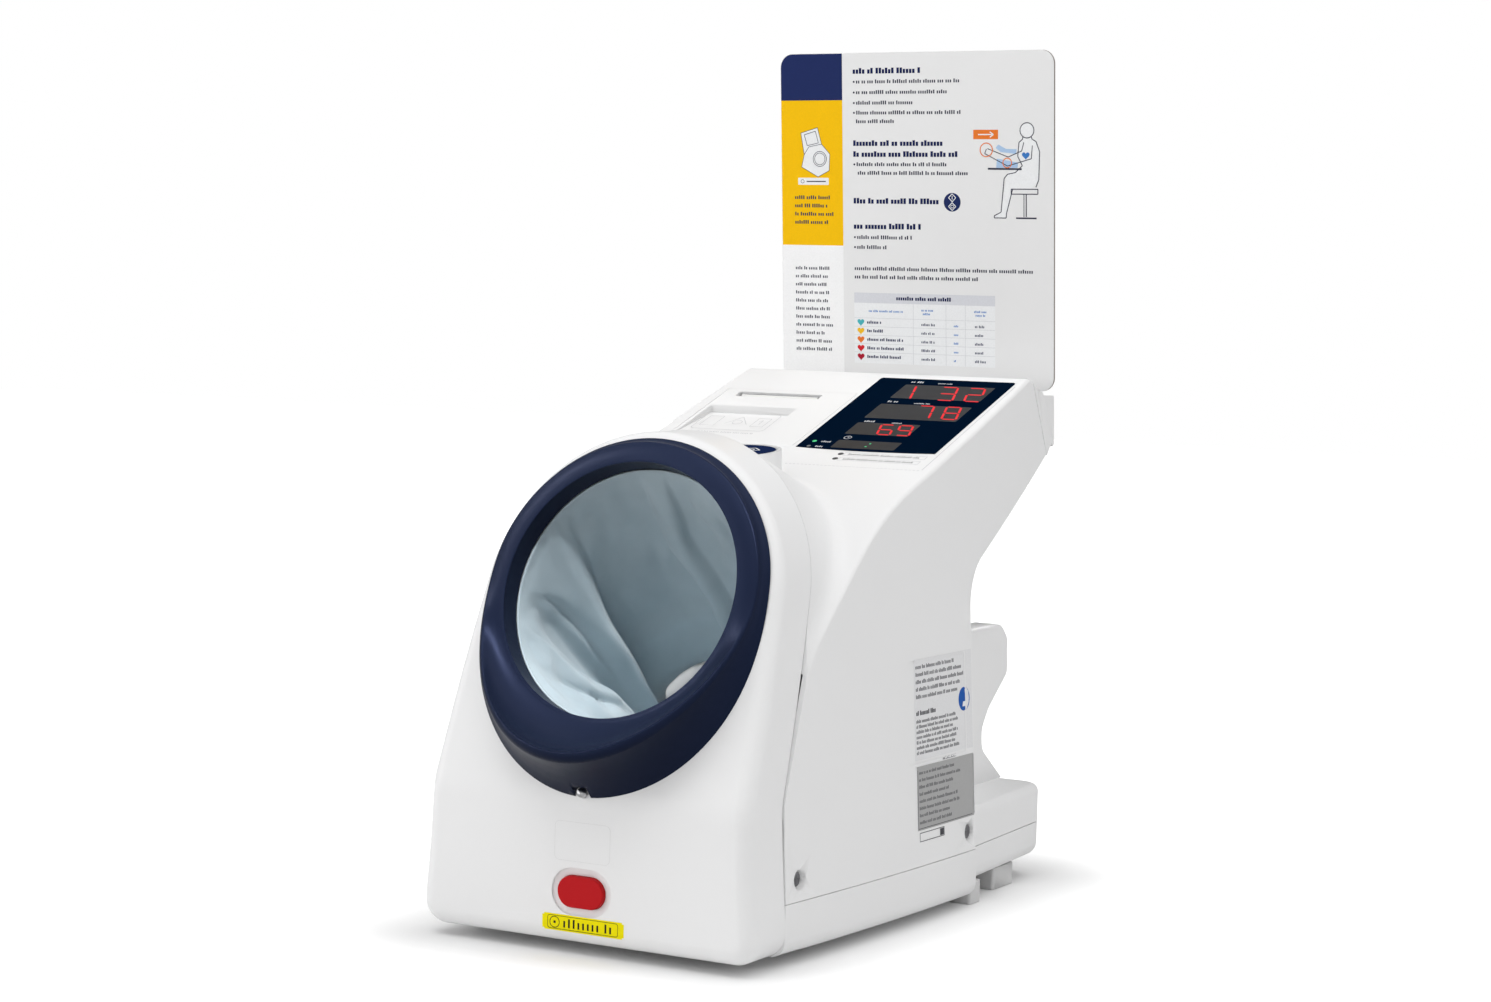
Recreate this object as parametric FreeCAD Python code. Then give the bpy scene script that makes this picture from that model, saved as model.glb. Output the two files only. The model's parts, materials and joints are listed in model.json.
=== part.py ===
import FreeCAD, Part
import math
import os

# Arm-in automatic blood pressure monitor, built as separate pieces in millimetres.
# X runs across the monitor, Y runs from the front to the back and Z runs up from the table.
# The arm goes in through the collar on the front (-Y) and down the sloping tunnel.

V = FreeCAD.Vector
os.makedirs("parts", exist_ok=True)

# ---------------------------------------------------------------- driving sizes
SLOPE = math.radians(19.6)       # the panel and the arm tunnel share this slope
WALL = 3.0                       # moulded wall
SEAM_GAP = 0.4                   # groove left between two mouldings
FOOT_H = 6.0                     # feet hold the base this far off the table
SEAM_Z = 36.0                    # joint between the base tray and the housing
DECK_Z = 60.0                    # top of the low box behind the body

SIN, COS, TAN = math.sin(SLOPE), math.cos(SLOPE), math.tan(SLOPE)

# front cover, drawn round the cuff drum
DRUM_R = 80.0                    # inside of the cuff drum
DRUM_T = 4.0
ARCH_ROOM = 18.0                 # from the inside of the drum to the outside of the cover
ARCH_R = DRUM_R + ARCH_ROOM      # round top of the front cover
ARCH_TOP = 290.5                 # table to the top of the arch
ARCH_Z = ARCH_TOP - ARCH_R
ARCH_RUN = math.radians(5.0)     # the sides leave the arch this far above its centre
# height, way out past the arch
SIDE_FLARE = [(165.0, 2.8), (135.0, 4.8), (105.0, 6.3), (70.0, 7.9), (40.0, 9.8)]
HEM_FLARE = 11.0
HEM_W = ARCH_R + HEM_FLARE       # half width of the cover at the table
HEM_R = 14.0                     # rounded lower corners
FACE_Y = -191.5                  # upright lower part of the front face
LEAN_Z = 90.0                    # the face leans back above this height
COVER_D = 38.0                   # front cover depth, face to seam

# arm tunnel, measured from the centre of the collar lip
FACE_A = -8.5                    # the leaning face lies this far behind the lip plane
LIP_LIFT = 11.0                  # the lip's centre over the arch centre
LIP_Z = ARCH_Z + LIP_LIFT
LIP_Y = FACE_Y + (LIP_Z + FACE_A * SIN - LEAN_Z) * TAN + FACE_A * COS
LIP = V(0, LIP_Y, LIP_Z)
COLLAR_LEDGE = 5.3               # the collar's lip stands in over the edge of the drum
LIP_R = DRUM_R - COLLAR_LEDGE
DRUM_FRONT = FACE_A - WALL * COS - 0.1
DRUM_REAR = -199.0
EXIT_R = 54.0                    # round opening through the back of the body

# panel
PANEL_Y, PANEL_Z = -60.0, 240.1  # a point of the panel plane on the centre line
BODY_REAR_Y = 70.0               # upright back of the body
BOX_REAR_Y = 196.5               # back of the low box
BODY_SWELL = 22.5                # the base stands out this far past the arch
WIDTH = 2 * (ARCH_R + BODY_SWELL)
HEAD_TAPER = 16.2                # the head is narrower than the base by this much on each side
TOP_HALF, TOP_APEX_Y, TOP_Z = WIDTH / 2 - HEAD_TAPER, 60.0, 321.0
SIDE_ARC_R = 2500.0              # the sides are gently curved in plan
BASE_APEX_Y = 90.0               # where the base is widest
REACH = WIDTH / 2 + 30.0         # cutting blocks run this far past the middle plane


# ---------------------------------------------------------------- drawing helpers
def yz(x=0.0):
    return lambda u, v: V(x, u, v)


def xz(y=0.0):
    return lambda u, v: V(u, y, v)


def xy(z=0.0):
    return lambda u, v: V(u, v, z)


def corner_cut(before, here, after, radius):
    """Tangent points and middle of the arc that rounds one corner of an outline."""
    a = (before - here).normalize()
    b = (after - here).normalize()
    half = a.getAngle(b) / 2
    length = radius / math.tan(half)
    bisector = (a + b).normalize()
    middle = here + bisector * (radius / math.sin(half) - radius)
    return here + a * length, middle, here + b * length


def outline(points, plane):
    """Closed wire through (u, v) or (u, v, radius) points, rounded where a radius is given."""
    spots = [plane(p[0], p[1]) for p in points]
    radii = [p[2] if len(p) > 2 else 0.0 for p in points]
    edges = []
    ends = []
    count = len(spots)
    for i, spot in enumerate(spots):
        if radii[i] > 0:
            ends.append(corner_cut(spots[i - 1], spot, spots[(i + 1) % count], radii[i]))
        else:
            ends.append((spot, None, spot))
    for i, (start, middle, stop) in enumerate(ends):
        if middle is not None:
            edges.append(Part.Arc(start, middle, stop).toShape())
        nearest = ends[(i + 1) % count][0]
        if stop.distanceToPoint(nearest) > 1e-6:
            edges.append(Part.makeLine(stop, nearest))
    return Part.Wire(edges)


def outward(solid):
    """The same solid with its faces pointing out."""
    return solid.reversed() if solid.Volume < 0 else solid


def prism(wire, direction):
    return outward(Part.Face(wire).extrude(direction))


def slab_x(points, half, x=0.0):
    return prism(outline(points, yz(x - half)), V(2 * half, 0, 0))


def slab_y(points, y0, y1):
    return prism(outline(points, xz(y0)), V(0, y1 - y0, 0))


def slab_z(points, z0, z1):
    return prism(outline(points, xy(z0)), V(0, 0, z1 - z0))


def rectangle(u0, u1, v0, v1, radius=0.0):
    return [(u0, v0, radius), (u1, v0, radius), (u1, v1, radius), (u0, v1, radius)]


def box(x0, x1, y0, y1, z0, z1):
    return Part.makeBox(x1 - x0, y1 - y0, z1 - z0, V(x0, y0, z0))


def rod(start, end, radius):
    axis = end - start
    return Part.makeCylinder(radius, axis.Length, start, axis)


def tube(start, end, outer, inner):
    return rod(start, end, outer).cut(rod(start, end, inner))


def mirror_x(shape):
    return shape.mirror(V(0, 0, 0), V(1, 0, 0))


def both_sides(shape):
    return [shape, mirror_x(shape)]


def fuse(shapes):
    whole = shapes[0]
    if len(shapes) > 1:
        whole = whole.fuse(shapes[1:])
    return whole.removeSplitter()


def edges_near(shape, test):
    return [e for e in shape.Edges if all(test(p) for p in e.discretize(5))]


def rounded_box(x0, x1, y0, y1, z0, z1, radius):
    block = box(x0, x1, y0, y1, z0, z1)
    return block.makeFillet(radius, block.Edges)


# ---------------------------------------------------------------- sloping frames
def tunnel_frame():
    """Local Z comes out of the tunnel towards the user, local Y climbs the leaning face."""
    return FreeCAD.Placement(LIP, FreeCAD.Rotation(V(1, 0, 0), 90 - math.degrees(SLOPE)))


def panel_frame():
    """Local Y climbs the panel, local Z is its outward normal."""
    return FreeCAD.Placement(V(0, PANEL_Y, PANEL_Z), FreeCAD.Rotation(V(1, 0, 0), math.degrees(SLOPE)))


def in_frame(shape, frame):
    moved = shape.copy()
    moved.Placement = frame.multiply(moved.Placement)
    return moved


def tunnel_point(x, v, a):
    return tunnel_frame().multVec(V(x, v, a))


def tunnel_rod(radius, a0, a1):
    return rod(tunnel_point(0, 0, a0), tunnel_point(0, 0, a1), radius)


def on_panel(x, s, h=0.0):
    return panel_frame().multVec(V(x, s, h))


def panel_box(x0, x1, s0, s1, h0, h1, radius=0.0):
    block = slab_z(rectangle(x0, x1, s0, s1, radius), h0, h1)
    return in_frame(block, panel_frame())


def panel_z(y):
    return PANEL_Z + (y - PANEL_Y) * TAN


def lean_y(z, y_low):
    """Y of a surface that is upright below LEAN_Z and leans back above it."""
    return y_low + max(0.0, z - LEAN_Z) * TAN


# ---------------------------------------------------------------- shared outlines
def cover_outline(inset, y):
    """Front view of the front cover: round arch, flared sides, rounded hem."""
    plane = xz(y)
    r = ARCH_R - inset
    low = FOOT_H + inset
    corner = HEM_R - inset
    hem = HEM_W - inset
    start = plane(r * math.cos(ARCH_RUN), ARCH_Z + r * math.sin(ARCH_RUN))
    side = [start] + [plane(r + flare, z) for z, flare in SIDE_FLARE] + [plane(hem, low + corner)]
    leaving = V(math.sin(ARCH_RUN), 0, -math.cos(ARCH_RUN))
    curve = Part.BSplineCurve()
    curve.interpolate(Points=side, InitialTangent=leaving, FinalTangent=V(0, 0, -1))
    right = curve.toShape()
    k = corner * math.sqrt(0.5)
    turn = Part.Arc(plane(hem, low + corner), plane(hem - corner + k, low + corner - k), plane(hem - corner, low))
    top = Part.Arc(start, plane(0, ARCH_Z + r), plane(-start.x, start.z)).toShape()
    base = Part.makeLine(plane(hem - corner, low), plane(corner - hem, low))
    turn = turn.toShape()
    pieces = [top, right, turn, base, mirror_x(turn), mirror_x(right)]
    return Part.Wire(Part.__sortEdges__(pieces))


def cover_side(y_front, y_back, z_low=0.0, z_high=330.0):
    """Side view between two surfaces that follow the bent front face."""
    return [
        (y_front, z_low), (y_front, LEAN_Z, 40.0), (lean_y(z_high, y_front), z_high),
        (lean_y(z_high, y_back), z_high), (y_back, LEAN_Z, 40.0), (y_back, z_low),
    ]


def plan_wire(half, apex_y, z, inset):
    """Plan of the body at one height: two long side arcs, square ends far outside the body."""
    reach = 260.0
    sag = SIDE_ARC_R - math.sqrt(SIDE_ARC_R ** 2 - reach ** 2)
    edge = half - inset
    right = Part.Arc(V(edge - sag, apex_y - reach, z), V(edge, apex_y, z), V(edge - sag, apex_y + reach, z))
    left = Part.Arc(V(sag - edge, apex_y + reach, z), V(-edge, apex_y, z), V(sag - edge, apex_y - reach, z))
    back = Part.makeLine(V(edge - sag, apex_y + reach, z), V(sag - edge, apex_y + reach, z))
    front = Part.makeLine(V(sag - edge, apex_y - reach, z), V(edge - sag, apex_y - reach, z))
    return Part.Wire([right.toShape(), back, left.toShape(), front])


def envelope(inset=0.0):
    """Body sides above the seam: wide and curved at the base, drawing in to the head."""
    per_mm = (WIDTH / 2 - TOP_HALF) / (TOP_Z - SEAM_Z)
    low_z, high_z = SEAM_Z - 12.0, TOP_Z + 9.0
    low = plan_wire(WIDTH / 2 + (SEAM_Z - low_z) * per_mm, BASE_APEX_Y, low_z, inset)
    high = plan_wire(TOP_HALF - (high_z - TOP_Z) * per_mm, TOP_APEX_Y, high_z, inset)
    return Part.makeLoft([low, high], True, True)


SEAM_Y = FACE_Y + COVER_D                  # lower front edge of the housing
SHOULDER = 43.0                            # slope of the front shoulder in degrees
SHOULDER_Y, SHOULDER_Z = -85.2, 206.9      # a point on that shoulder
CREST_Y = 168.0                            # highest line of the head
HEAD_TOP_REAR, HEAD_LOW_REAR = (176.0, 318.3), (197.0, 271.5)
UNDER_SLOPE = math.tan(math.radians(28.5))


def meet(p, slope_p, q, slope_q):
    """Crossing of two lines given by a point and a slope."""
    y = (q[1] - p[1] + slope_p * p[0] - slope_q * q[0]) / (slope_p - slope_q)
    return y, p[1] + slope_p * (y - p[0])


def body_profile(low_z, forward=0.0, rearward=0.0):
    """Side view of the housing from the front seam over the panel to the back of the body."""
    shoulder = math.tan(math.radians(SHOULDER))
    seam = (SEAM_Y - forward, LEAN_Z)
    bend_low = meet(seam, 1 / TAN, (SHOULDER_Y, SHOULDER_Z), shoulder)
    bend_high = meet((PANEL_Y, PANEL_Z), TAN, (SHOULDER_Y, SHOULDER_Z), shoulder)
    waist = (BODY_REAR_Y, HEAD_LOW_REAR[1] - (HEAD_LOW_REAR[0] - BODY_REAR_Y) * UNDER_SLOPE)
    shift = rearward * UNDER_SLOPE
    return [
        (SEAM_Y - forward, low_z), (seam[0], seam[1], 40.0), (bend_low[0], bend_low[1], 100.0),
        (bend_high[0], bend_high[1], 190.0), (CREST_Y, panel_z(CREST_Y), 8.0),
        (HEAD_TOP_REAR[0] + rearward, HEAD_TOP_REAR[1]), (HEAD_LOW_REAR[0] + rearward, HEAD_LOW_REAR[1] + shift),
        (waist[0], waist[1], 35.0), (BODY_REAR_Y, low_z),
    ]


# ---------------------------------------------------------------- outer mouldings
FRONT_ROUND = 10.0                         # rounding round the front face
HEAD_ROUND = 2.5                           # rounding along the sides of the head
VALLEY_ROUND = 12.0                        # hollow between the arch and the shoulders
SEAM_LAP = 3.0                             # the housing is shaped this far past its seam, then trimmed
A_SEAM = FACE_A - COVER_D * COS
NECK_RUN = 200.0
STOP_Z = 36.0                              # middle of the fast stop button
STOP_W, STOP_H = 30.0, 17.8
STOP_FIT = 0.3
COLLAR_FIT = 0.3
SPIGOT_R = DRUM_R - COLLAR_FIT             # the collar's neck drops into the drum
SPIGOT_D = 5.5
NOTCH_HALF, NOTCH_V = 5.0, LIP_R + 37.6    # gap in the collar's foot for its locking pin
BUTTON = V(0, -25.0, 277.0)                # middle of the start/stop button's face
BUTTON_R = 22.5
BUTTON_FIT = 0.1
BUTTON_TILT = 6.0
BOSS_R = BUTTON_R + 3.0
SCREW_SPOTS = [(-139.2, 48.0), (59.5, 47.6)]   # side screws, height and depth
RECESS_R = 6.0


def pill(width, height, z, y0, y1):
    return slab_y(rectangle(-width / 2, width / 2, z - height / 2, z + height / 2, height / 2 - 0.01), y0, y1)


def bend_line(edge):
    a, b = edge.Vertexes[0].Point, edge.Vertexes[-1].Point
    return abs(a.z - b.z) < 0.01 and LEAN_Z - 20 < a.z < LEAN_Z + 20


def cover_block(inset, back_y):
    """Arched block between the bent front face and a surface parallel to it, rounded outside and bevelled inside."""
    block = prism(cover_outline(inset, -230.0), V(0, 150.0, 0))
    block = block.common(slab_x(cover_side(FACE_Y + inset, back_y), REACH))
    rim = edges_near(block, lambda p: abs(p.y - lean_y(p.z, FACE_Y + inset)) < 1.0)
    rim = [e for e in rim if not bend_line(e)]
    return block.makeFillet(FRONT_ROUND, rim) if inset == 0.0 else block.makeChamfer(FRONT_ROUND / 2, rim)


def front_cover():
    outer = cover_block(0.0, SEAM_Y - SEAM_GAP)
    inner = cover_block(WALL, SEAM_Y + 5.0)
    dish = pill(STOP_W + 9, STOP_H + 9, STOP_Z, FACE_Y - 1, FACE_Y + 1.2)
    hole = pill(STOP_W + 2 * STOP_FIT, STOP_H + 2 * STOP_FIT, STOP_Z, FACE_Y - 1, FACE_Y + WALL + 1)
    shell = outer.cut([inner, tunnel_rod(SPIGOT_R + COLLAR_FIT, -40, 0), dish, hole])
    bosses = [rod(V(x, FACE_Y + WALL - 0.5, z), V(x, FACE_Y + WALL + 9, z), 3.5)
              for x in (-26, 26) for z in (STOP_Z - 6, STOP_Z + 6)]
    return fuse([shell] + bosses)


COLLAR_BAND = 12.8               # lip to outer edge round the upper part of the collar
COLLAR_FOOT = 16.7               # lip to foot there
CHIN_EDGE, CHIN_FOOT = 18.5, 26.6    # how far the edge and the foot swell at the chin
CHIN_RISE = 30.5                 # how far the edge stands out at the chin
CHIN_REACH = 95.0                # the chin dies out this many degrees to each side
EDGE_A = -1.5                    # outer edge behind the lip, away from the chin


def ease(t):
    """Smooth run from 0 to 1 with flat ends."""
    t = min(1.0, max(0.0, t))
    return t * t * (3.0 - 2.0 * t)


def collar_section(angle):
    """Closed section of the collar in the plane through the tunnel axis at one angle, -90 being the chin."""
    swell = ease(1.0 - abs(angle + 90.0) / CHIN_REACH)
    edge_r = LIP_R + COLLAR_BAND + CHIN_EDGE * swell ** 1.6
    edge_a = EDGE_A + CHIN_RISE * swell
    foot_r = LIP_R + COLLAR_FOOT + CHIN_FOOT * swell
    turn = math.radians(angle)

    def at(r, a):
        return V(r * math.cos(turn), r * math.sin(turn), a)

    foot_a = FACE_A + 0.06
    lip_r = LIP_R + 2.0
    ridge = 1.6 + 4.0 * swell                   # rounding of the outer edge
    hollow = 0.16 * (edge_a - EDGE_A)           # the funnel is scooped between lip and edge
    crest = (edge_r - ridge, edge_a)
    shoulder = (edge_r, edge_a - ridge)
    middle = ((lip_r + crest[0]) / 2 + hollow, 0.4 + crest[1] / 2 - 0.5 * hollow)
    waist = ((shoulder[0] + foot_r) / 2 - 0.16 * (foot_r - shoulder[0]), (shoulder[1] + foot_a) / 2)
    diagonal = ridge * (1 - math.sqrt(0.5))
    lines = [Part.makeLine(at(LIP_R - 3, foot_a), at(LIP_R - 3, -2.2)),
             Part.Arc(at(LIP_R - 3, -2.2), at(LIP_R - 1.2, -0.6), at(lip_r, 0.0)).toShape(),
             Part.Arc(at(lip_r, 0.0), at(*middle), at(*crest)).toShape(),
             Part.Arc(at(*crest), at(edge_r - diagonal, edge_a - diagonal), at(*shoulder)).toShape(),
             Part.Arc(at(*shoulder), at(*waist), at(foot_r, foot_a)).toShape(),
             Part.makeLine(at(foot_r, foot_a), at(LIP_R - 3, foot_a))]
    return Part.Wire(lines)


def cuff_collar():
    """Egg-shaped collar: a low band at the top that swells into a deep chin underneath."""
    right = [collar_section(a) for a in range(-90, 91, 15)]
    left = [mirror_x(section) for section in right[-2:0:-1]]
    ring = outward(Part.makeLoft(right + left, True, False, True))
    ring = ring.cut(Part.makeCylinder(LIP_R, 80, V(0, 0, -30)))
    spigot = Part.makeCylinder(SPIGOT_R, SPIGOT_D + 1.0, V(0, 0, FACE_A - SPIGOT_D))
    spigot = spigot.cut(Part.makeCylinder(LIP_R, 80, V(0, 0, -30)))
    notch = slab_z(rectangle(-NOTCH_HALF, NOTCH_HALF, -NOTCH_V - 20, -NOTCH_V, 2.5), FACE_A - 1, FACE_A + 7)
    return in_frame(ring.fuse(spigot).removeSplitter().cut(notch), tunnel_frame())


def neck_block(inset):
    """Arched sleeve that carries the cover's outline back down the slope of the tunnel."""
    sheet = Part.Face(outline(rectangle(-REACH, REACH, -170, REACH), xy(A_SEAM)))
    sheet = in_frame(sheet, tunnel_frame())
    section = sheet.common(prism(cover_outline(inset, -260.0), V(0, 260.0, 0)))
    section.translate(tunnel_point(0, 0, 4 * SEAM_LAP) - LIP)
    return outward(section.extrude(tunnel_point(0, 0, -NECK_RUN) - LIP))


def housing_outside():
    """Outer form of the housing: body, rounded edges and the arched sleeve with its hollow foot."""
    side = Part.Face(outline(body_profile(SEAM_Z, SEAM_LAP), yz(-REACH)))
    block = outward(side.extrude(V(2 * REACH, 0, 0))).common(envelope(0.0))
    corners = edges_near(block, head_corner)
    block = block.makeFillet(HEAD_ROUND, [e for e in corners if e.BoundBox.ZMax > SEAM_Z + 1])
    neck = neck_block(0.0).common(slab_x(rectangle(-300, 60, SEAM_Z, 330), REACH))
    block = block.fuse(neck)
    block = block.makeFillet(VALLEY_ROUND, edges_near(block, neck_foot))
    return block.common(slab_x(cover_side(SEAM_Y, 300.0), REACH))


def housing_inside():
    """The same form drawn in by the wall, open below and past the front seam."""
    below = 12.0
    side = Part.Face(outline(body_profile(SEAM_Z - below, SEAM_LAP + 5.0), yz(-REACH))).makeOffset2D(-WALL)
    block = outward(side.extrude(V(2 * REACH, 0, 0))).common(envelope(WALL))
    neck = neck_block(WALL).common(slab_x(rectangle(-300, 60, SEAM_Z - 0.75 * below, 330), REACH))
    return block.fuse(neck)


def neck_foot(p):
    """True along the foot of the arched sleeve, where it sinks into the shoulders and the panel."""
    local = tunnel_frame().inverse().multVec(p)
    ahead = tunnel_point(local.x, local.y, A_SEAM)
    on_arch = abs(math.hypot(ahead.x, ahead.z - ARCH_Z) - ARCH_R) < 0.1
    return on_arch and local.z < A_SEAM + SEAM_LAP


def button_frame():
    return FreeCAD.Placement(BUTTON, FreeCAD.Rotation(V(1, 0, 0), BUTTON_TILT))


def panel_cylinder(x, s, h0, h1, radius):
    return rod(on_panel(x, s, h0), on_panel(x, s, h1), radius)


# ---------------------------------------------------------------- housing and what it carries
MIDDLE_GAP, PANEL_BORDER = 1.5, 7.8
DISPLAY = (MIDDLE_GAP, TOP_HALF - PANEL_BORDER, 110.0, 233.0)   # display window: X, then up the slope
DISPLAY_SAG = 2.0
WINDOW_T = 2.0
WINDOW_FIT = 0.25
LEDGE = 2.0
DIGIT_ROWS = [(24.0, 87.0, 198.5, 222.0, 3), (23.0, 86.5, 163.0, 187.0, 3),
              (23.0, 66.5, 135.0, 154.0, 3), (24.5, 68.0, 112.8, 124.0, 4)]
STATUS_SPOTS = [(8.8, 121.5), (8.8, 114.6)]
LENS_SPOTS = [(36.5, 102.5), (36.5, 94.8)]
LENS_R = 1.8
BOARD_H = -14.0                            # face of the display board under the panel
LID = (0.5 - DISPLAY[1], -MIDDLE_GAP, 108.0, 203.0)             # printer opening
LID_FIT = 0.4
LID_T = 3.0
HINGE_R = 5.0
PIN_R = 1.5
PIN_FIT = 0.05
HINGE_S, HINGE_H = LID[2] + LID_FIT + HINGE_R, -HINGE_R
SLOT = (-85.0, -24.0, 190.0, 198.0)        # paper slot
PAPER_X = (-84.0, -26.0)                   # 58 mm paper
ROLL_R, ROLL_S, ROLL_H = 21.0, 146.0, -29.0
CORE_R, SPINDLE_END_R = 6.0, 3.0
PLATEN_R, PLATEN_S, PLATEN_H = 5.0, 187.5, -8.5
BUCKET_H = -52.0
EXIT_FIT = 0.3
EXIT_A = -215.0
EXIT_TUBE = 3.0
TRIM_LIP = 4.0
FOLD_GAP = 0.4
LABEL_PAD = (-18.0, 58.0, 97.0, 158.0)     # bare label place on the right side: Y, then Z
PLATE_PAD = (-10.0, 69.0, 57.0, 95.0)
PAD_D = 0.4


def window_wire(grow):
    """Display window outline on the panel: its lower edge sags a little in the middle."""
    x0, x1, s0, s1 = DISPLAY[0] - grow, DISPLAY[1] + grow, DISPLAY[2] - grow, DISPLAY[3] + grow
    corner = 2.0
    low = Part.Arc(V(x0, s0, 0), V((x0 + x1) / 2, s0 - DISPLAY_SAG, 0), V(x1, s0, 0)).toShape()
    right = Part.makeLine(V(x1, s0, 0), V(x1, s1 - corner, 0))
    k = corner * (1 - math.sqrt(0.5))
    turn = Part.Arc(V(x1, s1 - corner, 0), V(x1 - k, s1 - k, 0), V(x1 - corner, s1, 0)).toShape()
    top = Part.makeLine(V(x1 - corner, s1, 0), V(x0 + corner, s1, 0))
    back = Part.Arc(V(x0 + corner, s1, 0), V(x0 + k, s1 - k, 0), V(x0, s1 - corner, 0)).toShape()
    left = Part.makeLine(V(x0, s1 - corner, 0), V(x0, s0, 0))
    return Part.Wire([low, right, turn, top, back, left])


def window_slab(grow, h0, h1):
    slab = prism(window_wire(grow), V(0, 0, h1 - h0))
    slab.translate(V(0, 0, h0))
    return in_frame(slab, panel_frame())


def boss_disc(radius, h0, h1):
    disc = Part.makeCylinder(radius, h1 - h0, V(0, 0, h0))
    return in_frame(disc, button_frame())


BUTTON_T = 5.0
BUTTON_DOME, BUTTON_BEVEL = 0.9, 0.8
STEM_END = -19.4
BOSS_FLOOR = -14.0
STEM_R = 5.0


def side_recess(y, z, radius, depth):
    """Round recess straight into the right side at one height."""
    reach = WIDTH / 2 - 11.0 if y < 0 else WIDTH / 2
    return rod(V(reach - depth, y, z), V(reach + 20, y, z), radius)


def side_pad(pad):
    """Shallow bare place for a label, following the side of the body."""
    y0, y1, z0, z1 = pad
    block = slab_x(rectangle(y0, y1, z0, z1, 3.0), 20.0, 118.0)
    return block.cut(housing_skin_core())


def housing_skin_core():
    return envelope(PAD_D)


def housing():
    outer = housing_outside()
    shell = outer.fuse(boss_disc(BOSS_R, -32.0, 0.0)).cut(housing_inside())
    boss = boss_disc(BOSS_R, BOSS_FLOOR - 2.5, 0.0)
    cuts = [boss_disc(BUTTON_R + BUTTON_FIT, BOSS_FLOOR, 5.0), boss_disc(STEM_R + BUTTON_FIT, -30.0, 5.0),
            window_slab(WINDOW_FIT, -WINDOW_T, 5.0), window_slab(-LEDGE, -WALL - 1, 5.0),
            panel_box(*LID, -8.0, 5.0), tunnel_rod(EXIT_R + EXIT_TUBE + EXIT_FIT, -290, -200),
            side_pad(LABEL_PAD), side_pad(PLATE_PAD)]
    cuts += [panel_cylinder(x, s, -8, 5, LENS_R + BUTTON_FIT) for x, s in LENS_SPOTS]
    posts = [panel_cylinder(x, s, BOARD_H, -WALL + 0.2, 3.0) for x in (10.0, 91.0) for s in (104.0, 238.0)]
    shell = shell.fuse([boss] + posts).removeSplitter()
    shell = shell.cut(cuts)
    for y, z in SCREW_SPOTS:
        well = side_recess(y, z, RECESS_R + 2.0, 7.0).common(outer)
        for piece, hollow in zip(both_sides(well), both_sides(side_recess(y, z, RECESS_R, 4.5))):
            shell = shell.fuse(piece).cut(hollow)
    return shell.removeSplitter()


def head_corner(p):
    """True on the long edges where the sides of the body turn over to the front, panel and back."""
    return abs(p.x) > TOP_HALF - 4.8 and p.z > SEAM_Z - 0.01


def rear_cover_profile(inset):
    """Side view of the cover that closes the back of the head."""
    (ty, tz), (ly, lz) = HEAD_TOP_REAR, HEAD_LOW_REAR
    g = FOLD_GAP + inset
    return [(ty + g, tz - inset), (ty + 7 + inset / 2, tz - 4.3 - inset), (ty + 17 - inset / 2, tz - 6.3 - inset, 2.0),
            (209.0 - inset, 283.0, 2.0), (206.5 - inset, 279.5 + inset / 2), (ly + g, lz + inset)]


def head_rear_cover():
    outer = slab_x(rear_cover_profile(0.0), REACH).common(envelope(0.6))
    inner = slab_x(rear_cover_profile(2.5), REACH).common(envelope(3.2))
    return outer.cut(inner)


# ---------------------------------------------------------------- instruction board
BOARD_LEAN = 4.6
BOARD_FOOT = V(0, 213.6, 315.0)
BOARD_INSET = 4.7                # the board is narrower than the head
BOARD_HALF, BOARD_H_UP, BOARD_SINK, BOARD_T = TOP_HALF - BOARD_INSET, 217.0, 32.0, 2.0
BOARD_ROUND = 9.0
BOARD_LOW = -3.0                 # lower edge of the board on each side of its tongue
TONGUE_STEP = 12.0
BOARD_FIT = 0.15


def board_frame():
    """Local Y climbs the board, local Z points at the user."""
    return FreeCAD.Placement(BOARD_FOOT, FreeCAD.Rotation(V(1, 0, 0), 90 + BOARD_LEAN))


def instruction_board():
    tongue = BOARD_HALF - TONGUE_STEP
    points = [(-tongue, -BOARD_SINK, 1.0), (tongue, -BOARD_SINK, 1.0), (tongue, BOARD_LOW),
              (BOARD_HALF, BOARD_LOW, BOARD_ROUND), (BOARD_HALF, BOARD_H_UP, BOARD_ROUND),
              (-BOARD_HALF, BOARD_H_UP, BOARD_ROUND), (-BOARD_HALF, BOARD_LOW, BOARD_ROUND), (-tongue, BOARD_LOW)]
    return in_frame(slab_z(points, -BOARD_T / 2, BOARD_T / 2), board_frame())


def board_holder():
    """Wedge-shaped bracket behind the head with a pocket for the board."""
    rear_top, rear_low = (218.0, 309.5), (221.0, 276.0)
    points = [(196.2, 309.5), (rear_top[0], rear_top[1], 1.5), (rear_low[0], rear_low[1], 3.0), (208.0, 277.5),
              (209.6, 283.2)]
    block = slab_x(points, BOARD_HALF - 2.0)
    half_t = BOARD_T / 2 + BOARD_FIT
    half_w = BOARD_HALF - TONGUE_STEP + BOARD_FIT
    pocket = slab_z(rectangle(-half_w, half_w, -BOARD_SINK - BOARD_FIT, 20), -half_t, half_t)
    core = [(199.5, 306.0), (210.5, 306.0), (212.5, 284.5), (211.0, 284.5)]
    cells = [slab_x(core, 11.0, x) for x in (-81, -54, -27, 0, 27, 54, 81)]
    return block.cut([in_frame(pocket, board_frame())] + cells + board_screw_bars(-12.0))


def board_screw_bars(outer_end):
    bars = [Part.makeCylinder(1.5, -1.3 - outer_end, V(x, -20, outer_end)) for x in (-70.0, 70.0)]
    return [in_frame(bar, board_frame()) for bar in bars]


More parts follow.
